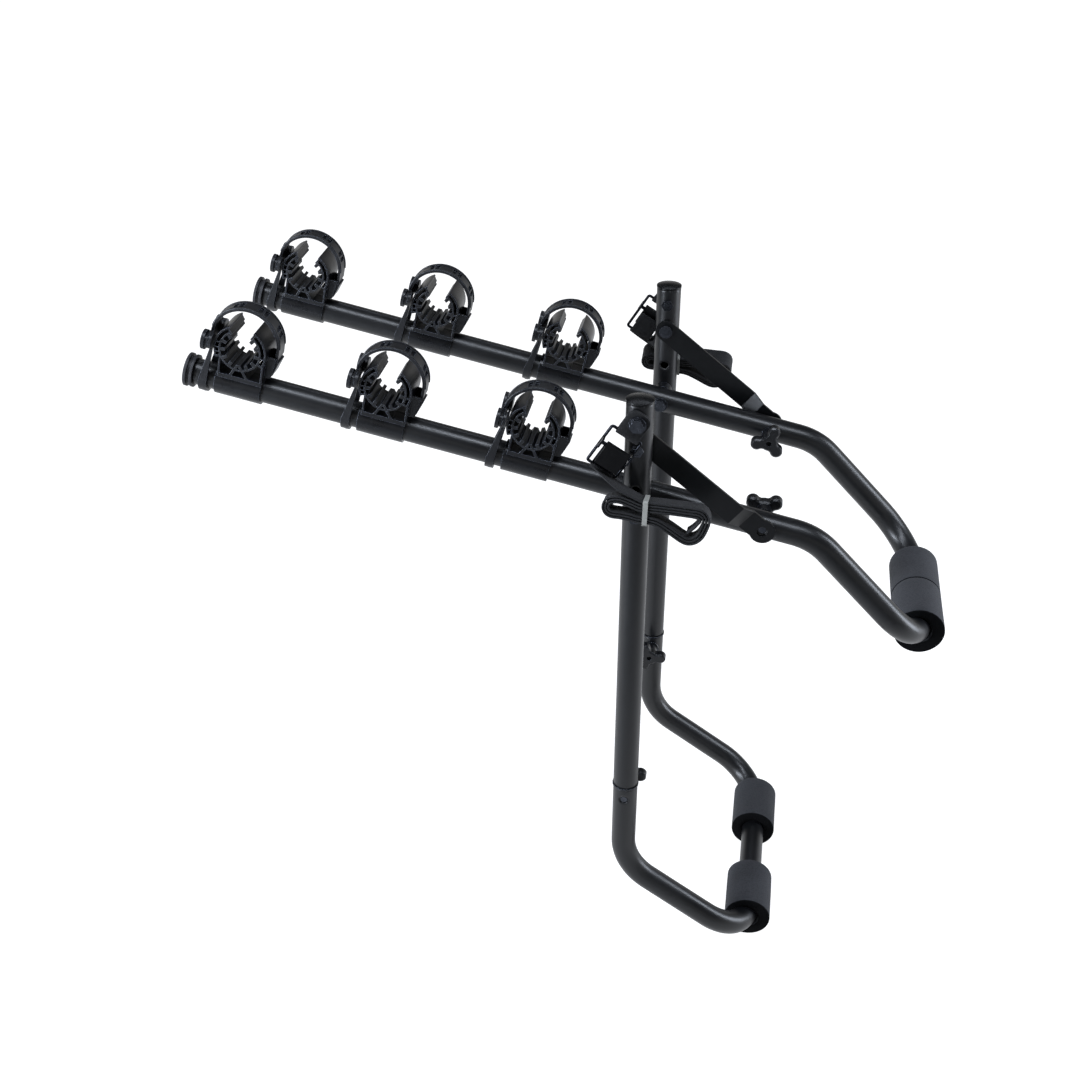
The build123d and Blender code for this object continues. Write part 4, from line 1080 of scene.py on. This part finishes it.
bpy.ops.mesh.primitive_plane_add(
    size=FLOOR_SIZE, location=(0, 0, cad_low[2] - 0.5 * MM))
floor = bpy.context.object
floor.name = "floor"
material, tree, shader, where = new_finish("white_floor")
rays = node(tree, "ShaderNodeLightPath")
mirrored = node(tree, "ShaderNodeMath", {
    0: rays.outputs["Is Glossy Ray"], 1: rays.outputs["Is Transmission Ray"],
}, operation="MAXIMUM")
depth = node(tree, "ShaderNodeSeparateXYZ", {0: where.outputs["Object"]}).outputs["Y"]
behind = node(tree, "ShaderNodeMapRange", {
    "Value": depth, "From Min": FRONT_Y, "From Max": 0.0,
    "To Min": FRONT_SHINE, "To Max": FLOOR_SHINE,
})
shine = node(tree, "ShaderNodeMath", {
    0: mirrored.outputs[0], 1: behind.outputs[0],
}, operation="MULTIPLY")
away = node(tree, "ShaderNodeVectorMath", {0: where.outputs["Object"]}, operation="LENGTH")
white = node(tree, "ShaderNodeMapRange", {
    "Value": away.outputs["Value"], "From Min": WHITE_FROM, "From Max": WHITE_FULL,
    "To Min": FLOOR_WHITE, "To Max": 1.0,
})
glow = node(tree, "ShaderNodeMath", {
    0: rays.outputs["Is Camera Ray"], 1: white.outputs[0], 2: shine.outputs[0],
}, operation="MULTIPLY_ADD")
feed(tree, shader, {
    "Base Color": srgb("a8a8a8"), "Roughness": 0.9, "Specular IOR Level": 0.0,
    "Emission Color": srgb("ffffff"), "Emission Strength": glow.outputs[0],
})
floor.data.materials.append(material)
floor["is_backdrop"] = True
tell(material)

# %% [markdown]
# ## The world
# The world is the rest of the studio: white to the camera, and to the object a
# soft light that is stronger low down, like pale walls, and weak overhead. An
# even white world would fill every shadow and grey the black paint.

# %%
WALLS, CEILING = 0.55, 0.06             # strengths low down and overhead
world = bpy.data.worlds.new("studio")
bpy.context.scene.world = world
world.use_nodes = True
sky = world.node_tree
direction = node(sky, "ShaderNodeTexCoord").outputs["Generated"]
height = node(sky, "ShaderNodeSeparateXYZ", {0: direction}).outputs["Z"]
level = node(sky, "ShaderNodeMapRange", {
    "Value": height, "From Min": 0.1, "From Max": 0.4, "To Min": WALLS, "To Max": CEILING,
})
strength = node(sky, "ShaderNodeMath", {
    0: node(sky, "ShaderNodeLightPath").outputs["Is Camera Ray"], 1: level.outputs[0],
}, operation="MAXIMUM")
feed(sky, sky.nodes["Background"], {
    "Color": srgb("ffffff"), "Strength": strength.outputs[0],
})
print("world nodes:", len(sky.nodes))

# %% [markdown]
# ## Softboxes
# Black paint shows only what it reflects. A round lamp would give spots, so the
# light is built from long narrow softboxes: each one draws a bright line down
# the tubes and leaves the rest of them dark. One hangs over the arms, one stands
# upright at each side, and a weak one behind lifts the far edges.

# %%
LAMP_COLOUR = "eaf2ff"                  # a cool daylight tube


def softbox(name, place, aim, width, height, power):
    """Rectangular lamp at a place, turned to a point, its width level."""
    data = bpy.data.lights.new(name, "AREA")
    data.shape = "RECTANGLE"
    data.size, data.size_y = width, height
    data.energy = power
    data.color = srgb(LAMP_COLOUR)[:3]
    lamp = bpy.data.objects.new(name, data)
    lamp.location = place
    to_aim = Vector(aim) - Vector(place)
    lamp.rotation_euler = to_aim.to_track_quat("-Z", "Y").to_euler()
    bpy.context.scene.collection.objects.link(lamp)
    print("softbox:", name, power, "W from", round(to_aim.length, 2), "m")


softbox("over_the_arms", (-0.35, -0.75, 2.0), middle, 2.6, 0.36, 42)
softbox("left_of_the_uprights", (-2.3, -1.5, 0.35), middle, 0.35, 2.2, 90)
softbox("right_behind", (1.9, 0.5, 0.5), middle, 0.6, 2.2, 44)
softbox("back", (-0.6, 2.0, 2.6), middle, 2.2, 0.3, 6)

# %% [markdown]
# ## Camera
# The camera stands where the photograph was taken: beside the near arm and above
# it, looking down by about thirty degrees. Its place, tilt and lens were fitted
# together to points of the photograph, so they are odd numbers.

# %%
SENSOR = 36.0
CAMERA_AT = (-0.188453, -1.458667, 0.918595)
CAMERA_TILT, CAMERA_TURN = 58.989, 9.576        # degrees from straight down, and left
camera_data = bpy.data.cameras.new("photo_camera")
camera_data.sensor_width = SENSOR
camera_data.lens = 49.07
camera_data.clip_start = 0.05
camera = bpy.data.objects.new("photo_camera", camera_data)
camera.location = CAMERA_AT
camera.rotation_euler = (math.radians(CAMERA_TILT), 0.0, math.radians(CAMERA_TURN))
bpy.context.scene.collection.objects.link(camera)
bpy.context.scene.camera = camera
bpy.context.scene.view_settings.view_transform = "Standard"
print("camera to the carrier's middle, m:", round((Vector(CAMERA_AT) - middle).length, 2))

# %% [markdown]
# ## Last measure
# Finishes and soft goods must not change the carrier's size.

# %%
low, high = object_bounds()
print("dressed box, mm:", [round((b - a) / MM) for a, b in zip(low, high)])
